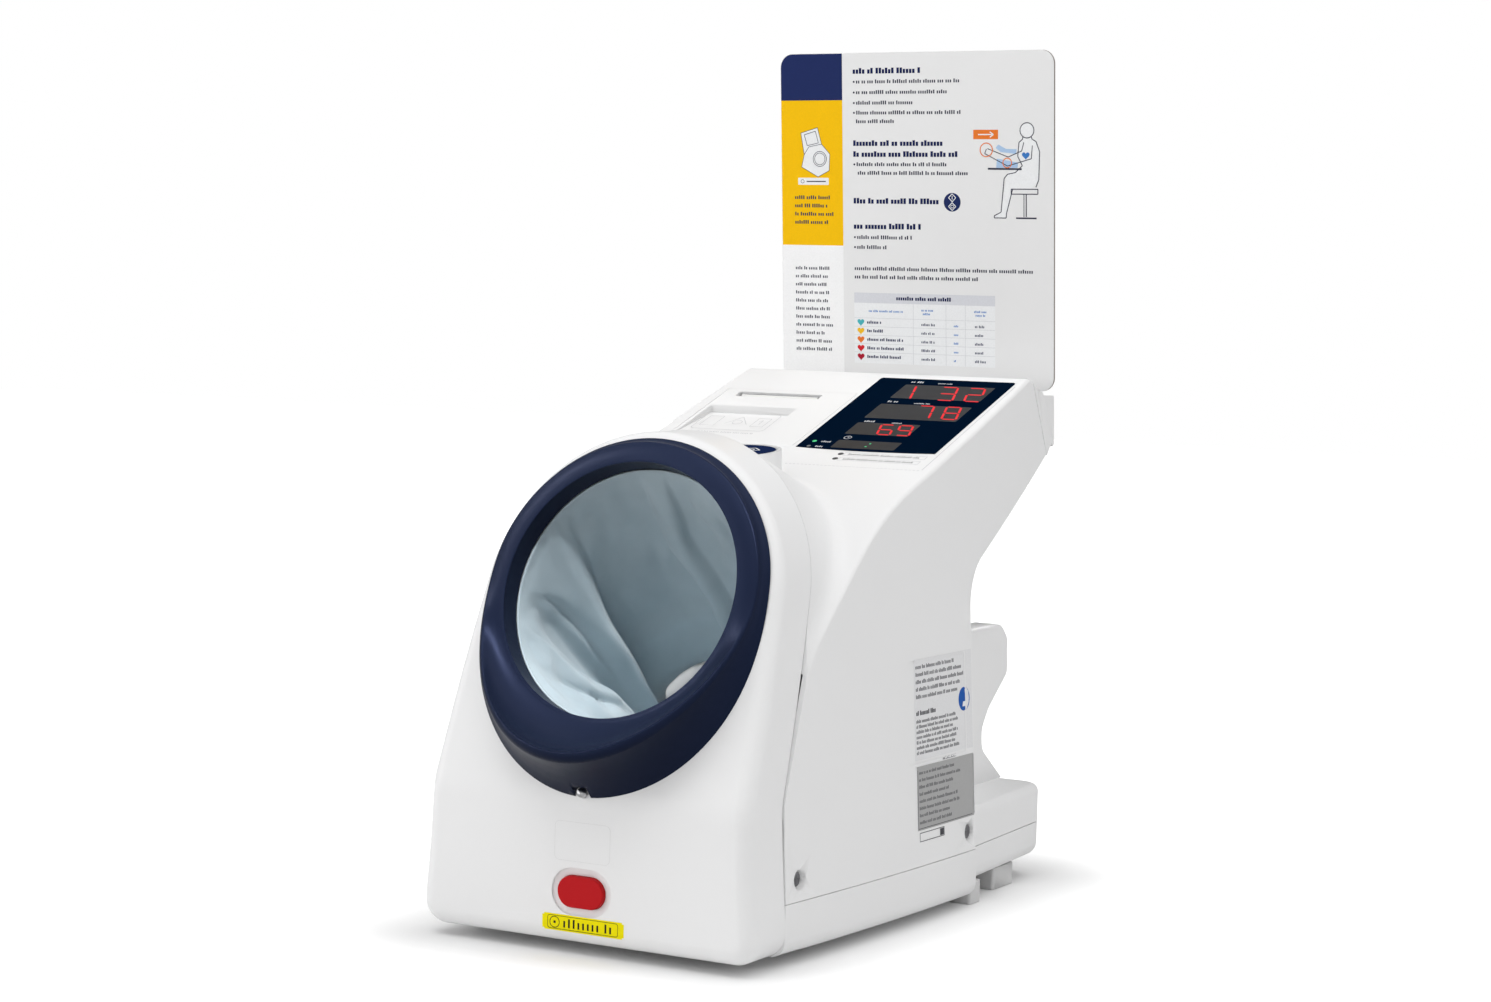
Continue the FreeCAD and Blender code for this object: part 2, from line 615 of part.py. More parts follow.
def board_screws():
    """Two screws through the back of the holder that pinch the board."""
    heads = [in_frame(Part.makeCylinder(3.5, 2.2, V(x, -20, -8.6)), board_frame()) for x in (-70.0, 70.0)]
    return Part.makeCompound([h.fuse(b).removeSplitter() for h, b in zip(heads, board_screw_bars(-7.0))])


# ---------------------------------------------------------------- cuff unit
DRUM_FLANGE = DRUM_R + 6.0
EAR_R, EAR_RING, EAR_T = 5.0, DRUM_R + 8.0, 3.0
EAR_TURNS = (-160.0, -120.0, -60.0, -20.0)
CLOTH_T = 1.0
CLOTH_PLEATS = 28
CLOTH_RINGS = [                  # a, way in from the drum at the sides, then at the top, then at the bottom
    (-15.0, 5.8, 5.8, 5.8), (-60.0, 12.0, 26.0, 7.5), (-105.0, 22.0, 56.0, 7.5), (-150.0, 31.0, 82.0, 6.5),
    (-196.0, 6.0, 6.0, 6.0),
]
CLAMP_D, CLAMP_T = 3.8, 4.0
BLADDER_T, BLADDER_ROOM = 4.2, 0.3
BLADDER_ENDS = (-60.0, -168.0)


def turned(points):
    """Ring turned about the tunnel axis from an (r, a) outline."""
    wire = outline([(r, a) for r, a in points], xz(0.0))
    ring = outward(Part.Face(wire).revolve(V(0, 0, 0), V(0, 0, 1), 360))
    return in_frame(ring, tunnel_frame())


def ear_spot(turn, a):
    angle = math.radians(turn)
    return tunnel_point(EAR_RING * math.cos(angle), EAR_RING * math.sin(angle), a)


def cuff_drum():
    """Rigid drum round the cuff, held by four ears against the inside of the front cover."""
    outer = DRUM_R + DRUM_T
    points = [(DRUM_R, DRUM_FRONT), (DRUM_FLANGE, DRUM_FRONT), (DRUM_FLANGE, DRUM_FRONT - EAR_T),
              (outer, DRUM_FRONT - EAR_T), (outer, DRUM_REAR), (DRUM_R, DRUM_REAR)]
    ears = [rod(ear_spot(t, DRUM_FRONT), ear_spot(t, DRUM_FRONT - EAR_T), EAR_R) for t in EAR_TURNS]
    bore = tunnel_rod(DRUM_R, DRUM_REAR, 0)
    port = rod(tunnel_point(0, -DRUM_R - 8, BLADDER_A), tunnel_point(0, -DRUM_R + 5, BLADDER_A), 3.0)
    return turned(points).fuse([ear.cut(bore) for ear in ears]).removeSplitter().cut(port)


def drum_screws():
    """Screws that pull the ears of the drum against the front cover."""
    back = DRUM_FRONT - EAR_T
    return Part.makeCompound([rod(ear_spot(t, back - 2.0), ear_spot(t, back), 2.6) for t in EAR_TURNS])


def exit_trim():
    """Bell-shaped throat that leads the forearm from the drum out through the back of the body."""
    inner, outer = EXIT_R, EXIT_R + EXIT_TUBE
    points = [(DRUM_R, DRUM_REAR - 0.3), (DRUM_R + DRUM_T, DRUM_REAR - 0.3), (DRUM_R + DRUM_T, DRUM_REAR - 3.5),
              (outer, EXIT_A - 2.0), (outer, -300.0), (inner, -300.0), (inner, EXIT_A), (DRUM_R, DRUM_REAR - 2.0)]
    throat = turned(points).common(box(-100, 100, -50, BODY_REAR_Y + 2.0, 20, 300))
    lip = tunnel_rod(outer + TRIM_LIP, -300, -200).common(box(-100, 100, BODY_REAR_Y + 0.3, BODY_REAR_Y + 2.0, 20, 300))
    return throat.fuse(lip.cut(tunnel_rod(inner, -320, -180))).removeSplitter()


def trim_room():
    """Room round the lip of the exit trim for what stands behind the body."""
    ring = tunnel_rod(EXIT_R + EXIT_TUBE + TRIM_LIP + EXIT_FIT, -300, -200)
    return ring.common(box(-100, 100, BODY_REAR_Y - 5, BODY_REAR_Y + 2.0 + EXIT_FIT, 20, 300))


def cloth_ring(ring, outward_by):
    """Oval section of the slack sleeve: its top hangs down, its bottom lies along the drum."""
    a, side, top, bottom = ring
    half_w = DRUM_R - side + outward_by
    half_h = DRUM_R - (top + bottom) / 2 + outward_by
    turns = [2 * math.pi * i / CLOTH_PLEATS for i in range(CLOTH_PLEATS + 1)]
    middle = (bottom - top) / 2
    return Part.makePolygon([V(half_w * math.cos(t), middle + half_h * math.sin(t), a) for t in turns])


def cuff_cloth():
    """Cloth sleeve, hanging slack between its two clamps while the cuff is empty."""
    outer = outward(Part.makeLoft([cloth_ring(ring, CLOTH_T) for ring in CLOTH_RINGS], True, True))
    inner = outward(Part.makeLoft([cloth_ring(ring, 0.0) for ring in CLOTH_RINGS], True, True))
    return in_frame(outer.cut(inner), tunnel_frame())


def cloth_clamp(a):
    """Ring that clamps one end of the cloth inside the drum."""
    inner, outer = DRUM_R - CLAMP_D, DRUM_R - 0.1
    return turned([(inner, a), (outer, a), (outer, a - CLAMP_T), (inner, a - CLAMP_T)])


def air_bladder():
    """Flat air bag that lines the drum behind the cloth."""
    inner, outer = DRUM_R - BLADDER_T, DRUM_R - BLADDER_ROOM
    front, back = BLADDER_ENDS
    bag = turned([(inner, front - 1.0), (inner + 1.0, front), (outer, front), (outer, back), (inner + 1.0, back),
                  (inner, back + 1.0)])
    nipple = rod(tunnel_point(0, 2.0 - DRUM_R, BLADDER_A), tunnel_point(0, TUBE_V[0] - 8, BLADDER_A), 2.4)
    return bag.fuse(nipple).removeSplitter()


def collar_pin():
    """Metal pin that locks the collar, standing in the notch of its foot."""
    v = -NOTCH_V - 3.6
    base = tunnel_point(0, v, FACE_A + 0.1)
    knob = rod(base, tunnel_point(0, v, FACE_A + 3.0), 2.8)
    tip = rod(base, tunnel_point(0, v, FACE_A + 6.0), 1.6)
    return knob.fuse(tip).removeSplitter()


# ---------------------------------------------------------------- base and the box behind the body
BOX_FLOOR = 13.5
BOX_STEP, BOX_TAPER = 3.7, 7.2              # the box is narrower than the body and narrows to the back
BOX_HALF_FRONT = WIDTH / 2 - BOX_STEP
BOX_HALF_REAR = BOX_HALF_FRONT - BOX_TAPER
BOX_CORNER = 16.0
BASE_ROUND = 9.0                 # rounded lower edge of the base
REAR_PANEL = (8.0, 88.0, 17.0, 56.0)
PANEL_T = 2.6
PANEL_FIT = 0.3
FOOT_SPOTS = [(44.0, -136.0, 7.5), (12.5, 81.0, 7.5), (20.5, 140.0, 15.0)]   # way in from the widest, Y, half length
FOOT_HALF = 7.5
PCB_Z = 16.0
MAIN_POSTS = [(x, y) for x in (-70.0, 70.0) for y in (-25.0, 45.0)]


def box_plan(inset, front_y):
    slope = (BOX_HALF_FRONT - BOX_HALF_REAR) / (BOX_REAR_Y - BODY_REAR_Y)
    front = BOX_HALF_FRONT - (front_y - BODY_REAR_Y) * slope - inset
    rear = BOX_HALF_REAR - inset
    back = BOX_REAR_Y - inset
    return [(-front, front_y), (front, front_y), (rear, back, BOX_CORNER - inset), (-rear, back, BOX_CORNER - inset)]


def rear_panel_cut():
    x0, x1, z0, z1 = REAR_PANEL
    f = PANEL_FIT
    return box(x0 - f, x1 + f, BOX_REAR_Y - 10, BOX_REAR_Y + 5, z0 - f, z1 + f)


def body_slab(inset, z0, z1):
    """Slab of the body's plan, from the front seam to its upright back."""
    slab = prism(plan_wire(WIDTH / 2, BASE_APEX_Y, z0, inset), V(0, 0, z1 - z0))
    return slab.common(box(-REACH, REACH, SEAM_Y + inset, BODY_REAR_Y - inset, z0 - 1, z1 + 1))


def base_tray():
    top = SEAM_Z - SEAM_GAP
    body = body_slab(0.0, FOOT_H, top)
    sides = [e for e in body.Edges if e.BoundBox.ZMax < FOOT_H + 0.01 and e.BoundBox.YLength > 10]
    body = body.makeFillet(BASE_ROUND, sides)
    rear = slab_z(box_plan(0.0, BODY_REAR_Y - 20), BOX_FLOOR, top)
    rim = [e for e in rear.Edges if e.BoundBox.ZMax < BOX_FLOOR + 0.01 and e.BoundBox.YMax > BODY_REAR_Y]
    rear = rear.makeFillet(BASE_ROUND, rim)
    tray = body.fuse(rear).removeSplitter()
    tray = tray.cut([body_slab(WALL, FOOT_H + WALL, top + 1).fuse(
        box(-110, 110, BODY_REAR_Y - 10, BODY_REAR_Y + 10, BOX_FLOOR + WALL, top + 1)),
        slab_z(box_plan(WALL, BODY_REAR_Y + 2), BOX_FLOOR + WALL, top + 1), rear_panel_cut()])
    slots = [box(x, x + 3.0, y, y + 34.0, 0, 12) for y in (-120.0, -60.0) for x in range(-60, 61, 10)]
    tray = tray.cut(slots)
    posts = [rod(V(x, y, FOOT_H + 1), V(x, y, PCB_Z), 3.5) for x, y in MAIN_POSTS]
    posts += [rod(V(x, y, FOOT_H + 1), V(x, y, top - 1.0), 4.0) for x in (20.5 - WIDTH / 2, WIDTH / 2 - 20.5) for y in (-136, 52)]
    return tray.fuse(posts).removeSplitter()


def rear_deck():
    """Lid of the low box behind the body."""
    outer = slab_z(box_plan(0.0, BODY_REAR_Y + SEAM_GAP), SEAM_Z, DECK_Z)
    rim = [e for e in outer.Edges if e.BoundBox.ZMin > DECK_Z - 0.01 and e.BoundBox.YMax > BODY_REAR_Y + 5]
    outer = outer.makeFillet(5.0, rim)
    inner = slab_z(box_plan(WALL, BODY_REAR_Y - 5), SEAM_Z - 5, DECK_Z - WALL)
    deck = outer.cut([inner, rear_panel_cut(), trim_room()])
    posts = [rod(V(x, y, SEAM_Z + 0.5), V(x, y, DECK_Z - 1), 3.5) for x in (-92, 92) for y in (84, 170)]
    return deck.fuse(posts).removeSplitter()


REST_TOP = 161.0
TROUGH_HALF = EXIT_R + EXIT_TUBE + TRIM_LIP
TROUGH_Z = LIP_Z - (BODY_REAR_Y - LIP_Y) * TAN + 2.9
REST_HALF = TROUGH_HALF + 18.0
REST_OUTLINE = [
    (198.5, DECK_Z), (166.0, 82.5, 11.0), (165.0, 95.0, 11.0), (174.5, 107.0, 12.0), (202.0, 127.5, 7.0),
    (200.5, 152.0, 8.0), (191.0, REST_TOP, 12.0),
]


def rest_block(inset, half, z_low):
    front = BODY_REAR_Y + SEAM_GAP + inset
    points = [(front, z_low)] + [(y, z_low if z <= DECK_Z else z, *r) for y, z, *r in REST_OUTLINE]
    face = Part.Face(outline(points + [(front, REST_TOP)], yz(-half)))
    if inset:
        face = face.makeOffset2D(-inset)
    return outward(face.extrude(V(2 * half, 0, 0)))


def trough(radius):
    """U-shaped channel for the forearm, open at the top."""
    channel = rod(V(0, BODY_REAR_Y - 10, TROUGH_Z), V(0, 230, TROUGH_Z), radius)
    return channel.fuse(box(-radius, radius, BODY_REAR_Y - 10, 230, TROUGH_Z, 200)).removeSplitter()


def arm_rest():
    """Cradle behind the body: two hollow wings with the forearm trough between them."""
    outer = rest_block(0.0, REST_HALF, DECK_Z)
    rim = edges_near(outer, lambda p: abs(p.x) > REST_HALF - 0.1 and p.z > DECK_Z and p.y > BODY_REAR_Y + 1)
    outer = outer.makeFillet(3.0, rim)
    shell = outer.cut([trough(TROUGH_HALF), trim_room()])
    for x0, x1 in ((-REST_HALF + WALL, -TROUGH_HALF - WALL), (TROUGH_HALF + WALL, REST_HALF - WALL)):
        hollow = rest_block(WALL, REST_HALF, DECK_Z - 20).common(box(x0, x1, 60, 230, 40, REST_TOP - WALL))
        shell = shell.cut(hollow)
    return shell.removeSplitter()


def elbow_pad():
    """Smooth insert on which the elbow rests, let into the floor of the trough."""
    y0, y1 = 92.0, 186.0
    outer = rod(V(0, y0, TROUGH_Z), V(0, y1, TROUGH_Z), TROUGH_HALF - 0.1)
    outer = outer.cut(rod(V(0, y0 - 5, TROUGH_Z), V(0, y1 + 5, TROUGH_Z), TROUGH_HALF - 3.1))
    plan = slab_z(rectangle(-34, 34, y0, y1, 18.0), 40, TROUGH_Z)
    return outer.common(plan)


def feet():
    pads = []
    for way_in, y, half_length in FOOT_SPOTS:
        x = WIDTH / 2 - way_in
        top = FOOT_H if y < BODY_REAR_Y else BOX_FLOOR
        block = rectangle(x - FOOT_HALF, x + FOOT_HALF, y - half_length, y + half_length, 2.0)
        pads += both_sides(slab_z(block, 0.0, top))
    return Part.makeCompound(pads)


def rear_panel():
    x0, x1, z0, z1 = REAR_PANEL
    plate = box(x0, x1, BOX_REAR_Y - PANEL_T - 0.4, BOX_REAR_Y - 0.4, z0, z1)
    inlet = box(INLET_X - 13.9, INLET_X + 13.9, 150, 250, INLET_Z - 10.2, INLET_Z + 10.2)
    switch = box(SWITCH_X - 13.3, SWITCH_X + 13.3, 150, 250, INLET_Z - 9.8, INLET_Z + 9.8)
    return plate.cut([inlet, switch])


INLET_X, SWITCH_X, INLET_Z = 30.0, 68.0, 36.5
SOCKET_DEPTH = 13.0
PANEL_FACE = BOX_REAR_Y - 0.4


def ac_inlet():
    """Three-pin appliance inlet: flange outside the panel, shrouded socket and its body inside."""
    flange = slab_y(rectangle(INLET_X - 16.5, INLET_X + 16.5, INLET_Z - 12.5, INLET_Z + 12.5, 2.5),
                    PANEL_FACE, PANEL_FACE + 2.0)
    body = box(INLET_X - 13.6, INLET_X + 13.6, PANEL_FACE - 17, PANEL_FACE, INLET_Z - 9.9, INLET_Z + 9.9)
    socket = slab_y(socket_outline(), PANEL_FACE - SOCKET_DEPTH, PANEL_FACE + 5)
    return flange.fuse(body).removeSplitter().cut([socket] + pin_bars())


def socket_outline():
    x, z, w, h, cut = INLET_X, INLET_Z, 12.2, 8.2, 4.5
    return [(x - w, z - h), (x + w, z - h), (x + w, z + h - cut), (x + w - cut, z + h), (x - w + cut, z + h),
            (x - w, z + h - cut)]


def pin_bars():
    y0, y1 = PANEL_FACE - SOCKET_DEPTH - 10, PANEL_FACE - 2.0
    return [box(INLET_X + x - 1, INLET_X + x + 1, y0, y1, INLET_Z + z - 2, INLET_Z + z + 2)
            for x, z in ((-7.0, -1.2), (7.0, -1.2), (0.0, 3.2))]


def inlet_pins():
    return Part.makeCompound(pin_bars())


ROCKER_PIVOT = V(SWITCH_X, PANEL_FACE - 3.0, INLET_Z)
ROCKER_TILT = 7.0
PADDLE_HALF = 10.8


def power_switch():
    """Snap-in body of the power switch, open to the back for its rocker."""
    x, z = SWITCH_X, INLET_Z
    flange = slab_y(rectangle(x - 15.5, x + 15.5, z - 12, z + 12, 2.0), PANEL_FACE, PANEL_FACE + 2.0)
    body = box(x - 13.0, x + 13.0, PANEL_FACE - 15, PANEL_FACE, z - 9.5, z + 9.5)
    well = box(x - 11.6, x + 11.6, PANEL_FACE - 10, PANEL_FACE + 5, z - 8.2, z + 8.2)
    bore = rod(ROCKER_PIVOT + V(0, 0, -9.0), ROCKER_PIVOT + V(0, 0, 9.0), 1.0 + PIN_FIT)
    return flange.fuse(body).removeSplitter().cut([well, bore])


def power_rocker():
    """Rocker with its pivot pin, lying in its off position."""
    w = PADDLE_HALF
    points = [(-w, 4.6, 0.8), (0, 3.0, 12.0), (w, 4.6, 0.8), (w - 0.4, -1.0), (4.0, -4.0, 1.0), (-4.0, -4.0, 1.0),
              (0.4 - w, -1.0)]
    paddle = slab_z(points, -7.9, 7.9)
    pin = rod(V(0, 0, -8.9), V(0, 0, 8.9), 1.0)
    return in_frame(paddle.fuse(pin).removeSplitter(),
                    FreeCAD.Placement(ROCKER_PIVOT, FreeCAD.Rotation(V(0, 0, 1), ROCKER_TILT)))


# ---------------------------------------------------------------- buttons
BUTTON_TRAVEL = 1.5
STOP_TRAVEL = 2.0
STOP_PROUD = 1.6


def start_stop_button():
    """Large round key with a slightly domed face and a stem down to its switch."""
    rim, edge = BUTTON_R - BUTTON_BEVEL, BUTTON_BEVEL
    dome = Part.Arc(V(0, 0, BUTTON_DOME), V(rim / 2, 0, BUTTON_DOME * 0.75), V(rim, 0, 0)).toShape()
    side = [(rim, 0.0), (BUTTON_R, -edge), (BUTTON_R, -BUTTON_T), (STEM_R, -BUTTON_T), (STEM_R, STEM_END), (0.0, STEM_END),
            (0.0, BUTTON_DOME)]
    rest = Part.makePolygon([V(r, 0, h) for r, h in side])
    face = Part.Face(Part.Wire([dome] + rest.Edges))
    return in_frame(outward(face.revolve(V(0, 0, 0), V(0, 0, 1), 360)), button_frame())


def start_stop_switch():
    """Small board on two posts with the key switch under the button's stem."""
    board = Part.makeCylinder(13.0, 1.6, V(0, 0, -28.6)).common(box(-13, 13, -9, 9, -30, 0))
    key = box(-3.2, 3.2, -3.2, 3.2, -27.0, -21.4)
    posts = [Part.makeCylinder(1.8, -16.5 + 27.0, V(x, 0, -27.0)) for x in (-9.5, 9.5)]
    return in_frame(board.fuse([key] + posts).removeSplitter(), button_frame())


def fast_stop_button():
    """Red pill-shaped key, held behind the cover by its flange."""
    face = FACE_Y - STOP_PROUD
    key = pill(STOP_W, STOP_H, STOP_Z, face, FACE_Y + WALL + 1.0)
    key = key.makeChamfer(0.7, edges_near(key, lambda p: abs(p.y - face) < 0.01))
    flange = pill(STOP_W + 5, STOP_H + 5, STOP_Z, FACE_Y + WALL + 0.2, FACE_Y + WALL + 2.2)
    stem = rod(V(0, FACE_Y + WALL + 2.0, STOP_Z), V(0, FACE_Y + WALL + 4.0, STOP_Z), 3.0)
    return key.fuse([flange, stem]).removeSplitter()


def fast_stop_switch():
    back = FACE_Y + WALL + 9.0
    board = box(-31, 31, back, back + 1.6, STOP_Z - 11, STOP_Z + 11)
    key = box(-4, 4, back - 2.6, back, STOP_Z - 4, STOP_Z + 4)
    screws = [rod(V(x, back + 1.6, z), V(x, back + 3.2, z), 2.4) for x in (-26, 26)
              for z in (STOP_Z - 6, STOP_Z + 6)]
    return board.fuse([key] + screws).removeSplitter()


# ---------------------------------------------------------------- display
def display_window():
    return window_slab(0.0, -WINDOW_T + 0.05, 0.15)


def display_board():
    board = panel_box(7.0, 94.0, 100.0, 242.0, BOARD_H - 1.6, BOARD_H)
    return board


def display_digits():
    """Seven-segment modules, one block for each figure."""
    blocks = []
    for x0, x1, s0, s1, count in DIGIT_ROWS:
        pitch = (x1 - x0) / count
        for i in range(count):
            blocks.append(panel_box(x0 + i * pitch + 0.2, x0 + (i + 1) * pitch - 0.2, s0, s1, BOARD_H, -2.4))
    return Part.makeCompound(blocks)


def status_lights():
    lamps = [panel_cylinder(x, s, BOARD_H, -2.4, 1.5) for x, s in STATUS_SPOTS]
    lamps += [panel_cylinder(x, s, -4.5, 0.1, LENS_R) for x, s in LENS_SPOTS]
    return Part.makeCompound(lamps)


# ---------------------------------------------------------------- printer
def slope_prism(points, x0, x1):
    """Prism across the panel from an outline drawn as (way up the slope, height off it)."""
    return in_frame(prism(outline(points, yz(x0)), V(x1 - x0, 0, 0)), panel_frame())


def across(s, h, x0, x1, radius):
    return rod(on_panel(x0, s, h), on_panel(x1, s, h), radius)


RECESS_X = (-93.0, -30.0)
RECESS_S = (119.0, 172.0)
RECESS_D = 5.0


def printer_cover():
    """Hinged lid with a sloping recess, the paper slot and the carrier of the platen roller."""
    x0, x1 = LID[0] + LID_FIT, LID[1] - LID_FIT
    end = LID[3] - LID_FIT
    slab = slope_prism([(HINGE_S, -LID_T), (end, -LID_T), (end, 0), (HINGE_S, 0)], x0, x1)
    barrel = across(HINGE_S, HINGE_H, x0, x1, HINGE_R)
    web = slope_prism([(HINGE_S, -6.5), (HINGE_S + 7, -LID_T), (HINGE_S + 7, -1.5), (HINGE_S, -1.5)], x0, x1)
    s0, s1 = RECESS_S
    tray = slope_prism([(s0 - 4, -LID_T), (s1 + 2.5, -RECESS_D - 2.5), (s1 + 2.5, -1.0), (s0 - 4, -1.0)],
                       RECESS_X[0] - 2, RECESS_X[1] + 2)
    ears = [panel_box(x, x + 3.0, PLATEN_S - 4.5, PLATEN_S + 4.0, PLATEN_H - 4.0, -LID_T + 0.5)
            for x in (SLOT[0] - 6.0, SLOT[1] + 3.0)]
    recess = slope_prism([(s0, 0), (s1, -RECESS_D), (s1 + 0.8, 1.0), (s0, 1.0)], *RECESS_X)
    slot = panel_box(*SLOT, -8, 2, 1.2)
    bores = [across(HINGE_S, HINGE_H, x0 - 1, x1 + 1, PIN_R + PIN_FIT),
             across(PLATEN_S, PLATEN_H, SLOT[0] - 8, SLOT[1] + 8, 2.0 + PIN_FIT)]
    lid = slab.fuse([barrel, web, tray] + ears).removeSplitter()
    return lid.cut([recess, slot] + bores)


def hinge_pin():
    return across(HINGE_S, HINGE_H, LID[0] - 2.0, LID[1] + 1.6, PIN_R)


def tear_bar():
    """Saw-edged strip along the upper edge of the paper slot."""
    x0, x1, top = SLOT[0] + 1.5, SLOT[1] - 1.5, SLOT[3] - 0.1
    teeth = 28
    pitch = (x1 - x0) / teeth
    points = [(x1, top), (x0, top)]
    for i in range(teeth):
        points += [(x0 + i * pitch, top - 1.2), (x0 + (i + 0.5) * pitch, top - 2.0)]
    points.append((x1, top - 1.2))
    return in_frame(slab_z(points, -2.4, -1.4), panel_frame())


def platen_roller():
    roller = across(PLATEN_S, PLATEN_H, SLOT[0] - 2.0, SLOT[1] + 2.0, PLATEN_R)
    shaft = across(PLATEN_S, PLATEN_H, SLOT[0] - 6.5, SLOT[1] + 8.0, 2.0)
    return roller.fuse(shaft).removeSplitter()


def platen_gear():
    """Small gear on the end of the platen shaft."""
    count, tip, root = 16, 5.0, 4.2
    points = []
    for i in range(count):
        for part, radius in ((0.0, root), (0.3, tip), (0.6, tip), (0.9, root)):
            turn = 2 * math.pi * (i + part) / count
            points.append((PLATEN_S + radius * math.cos(turn), PLATEN_H + radius * math.sin(turn)))
    wheel = slope_prism(points, SLOT[1] + 8.2, SLOT[1] + 11.2)
    return wheel


def paper_roll():
    start, end = PAPER_X
    roll = across(ROLL_S, ROLL_H, start, end, ROLL_R)
    return roll.cut(across(ROLL_S, ROLL_H, start - 1, end + 1, CORE_R))


def roll_spindle():
    """Spindle through the core of the roll, its thin ends dropped into slots in the tray."""
    barrel = across(ROLL_S, ROLL_H, PAPER_X[0] - 3, PAPER_X[1] + 3, CORE_R - PIN_FIT)
    ends = across(ROLL_S, ROLL_H, LID[0] - 2.0, LID[1] + 1.8, SPINDLE_END_R)
    return barrel.fuse(ends).removeSplitter()


def paper_bucket():
    """Open tray under the lid that holds the roll on its spindle and the hinge pin in its sides."""
    x0, x1, s0, s1 = LID[0] - 2.2, LID[1] + 2.0, LID[2] - 2.0, LID[3] + 2.0
    top = -LID_T - 0.1
    outer = panel_box(x0, x1, s0, s1, BUCKET_H - 2, top)
    inner = panel_box(x0 + 2, x1 - 2, s0 + 2, s1 - 2, BUCKET_H, top + 1)
    half = SPINDLE_END_R + PIN_FIT
    spindle = across(ROLL_S, ROLL_H, x0 - 1, x1 + 1, half)
    slots = panel_box(x0 - 1, x1 + 1, ROLL_S - half, ROLL_S + half, ROLL_H, top + 1)
    pin = across(HINGE_S, HINGE_H, x0 - 1, x1 + 1, PIN_R + PIN_FIT)
    return outer.cut([inner, spindle, slots, pin])


def print_mechanism():
    """Thermal head and its carrier behind the platen."""
    x0, x1 = SLOT[0] - 4, SLOT[1] + 4
    carrier = slope_prism([(194.6, -30), (202.8, -30), (202.8, -6), (198.5, -5), (194.6, -9)], x0, x1)
    head = panel_box(x0 + 2, x1 - 2, 193.0, 194.9, -20, -5.5)
    foot = panel_box(x0, x1, 180.0, 202.8, BUCKET_H, -28.0)
    return carrier.fuse([head, foot]).removeSplitter()


# ---------------------------------------------------------------- air system and electronics
PUMP_AT = (0.0, -100.0)
TUBE_V = (-DRUM_R - 8.5, -118.0)
BLADDER_A = -110.0


def air_pump():
    """Diaphragm pump on a plate: square head with its outlet spigot and a round motor."""
    x, y = PUMP_AT
    plate = box(x - 24, x + 64, y - 22, y + 22, FOOT_H + WALL, FOOT_H + WALL + 2.0)
    head = box(x - 17, x + 17, y - 17, y + 17, FOOT_H + WALL, 44.0)
    motor = rod(V(x + 16, y, 27.0), V(x + 60, y, 27.0), 14.0)
    saddle = box(x + 26, x + 50, y - 10, y + 10, FOOT_H + WALL, 20.0)
    spigot = rod(tunnel_point(0, TUBE_V[1] + 5.0, BLADDER_A), tunnel_point(0, TUBE_V[1] - 12.0, BLADDER_A), 2.4)
    return plate.fuse([head, motor, saddle, spigot]).removeSplitter()


def air_tube():
    start, end = tunnel_point(0, TUBE_V[0], BLADDER_A), tunnel_point(0, TUBE_V[1], BLADDER_A)
    return tube(start, end, 4.0, 2.5)


def valve(x, y, height):
    body = rod(V(x, y, FOOT_H + WALL), V(x, y, height), 9.0)
    cap = rod(V(x, y, height - 1), V(x, y, height + 5), 5.0)
    return body.fuse([cap, rod(V(x, y, height), V(x, y, height + 12), 2.2)]).removeSplitter()


def main_board():
    board = box(-76, 76, -31, 51, PCB_Z, PCB_Z + 1.6)
    parts = [box(-50, -30, 0, 20, PCB_Z + 1, PCB_Z + 4), box(10, 40, -20, 0, PCB_Z + 1, PCB_Z + 9),
             box(-20, 0, 30, 46, PCB_Z + 1, PCB_Z + 12), rod(V(52, 30, PCB_Z + 1), V(52, 30, PCB_Z + 16), 6),
             rod(V(36, 30, PCB_Z + 1), V(36, 30, PCB_Z + 16), 6)]
    return board.fuse(parts).removeSplitter()


def power_supply():
    floor = BOX_FLOOR + WALL
    case = box(-86, -12, 92, 172, floor, DECK_Z - WALL - 8)
    slots = [box(x, x + 4, 104, 160, DECK_Z - WALL - 10, DECK_Z) for x in range(-76, -20, 10)]
    return case.cut(slots)


def side_screws():
    screws = []
    for y, z in SCREW_SPOTS:
        face = side_recess_floor(y)
        head = rod(V(face, y, z), V(face + 2.2, y, z), 4.2)
        slots = [box(face + 1.2, face + 3, y - 2.6, y + 2.6, z - 0.5, z + 0.5),
                 box(face + 1.2, face + 3, y - 0.5, y + 0.5, z - 2.6, z + 2.6)]
        screws += both_sides(head.cut(slots))
    return Part.makeCompound(screws)


def side_recess_floor(y):
    return (WIDTH / 2 - 11.0 if y < 0 else WIDTH / 2) - 4.5


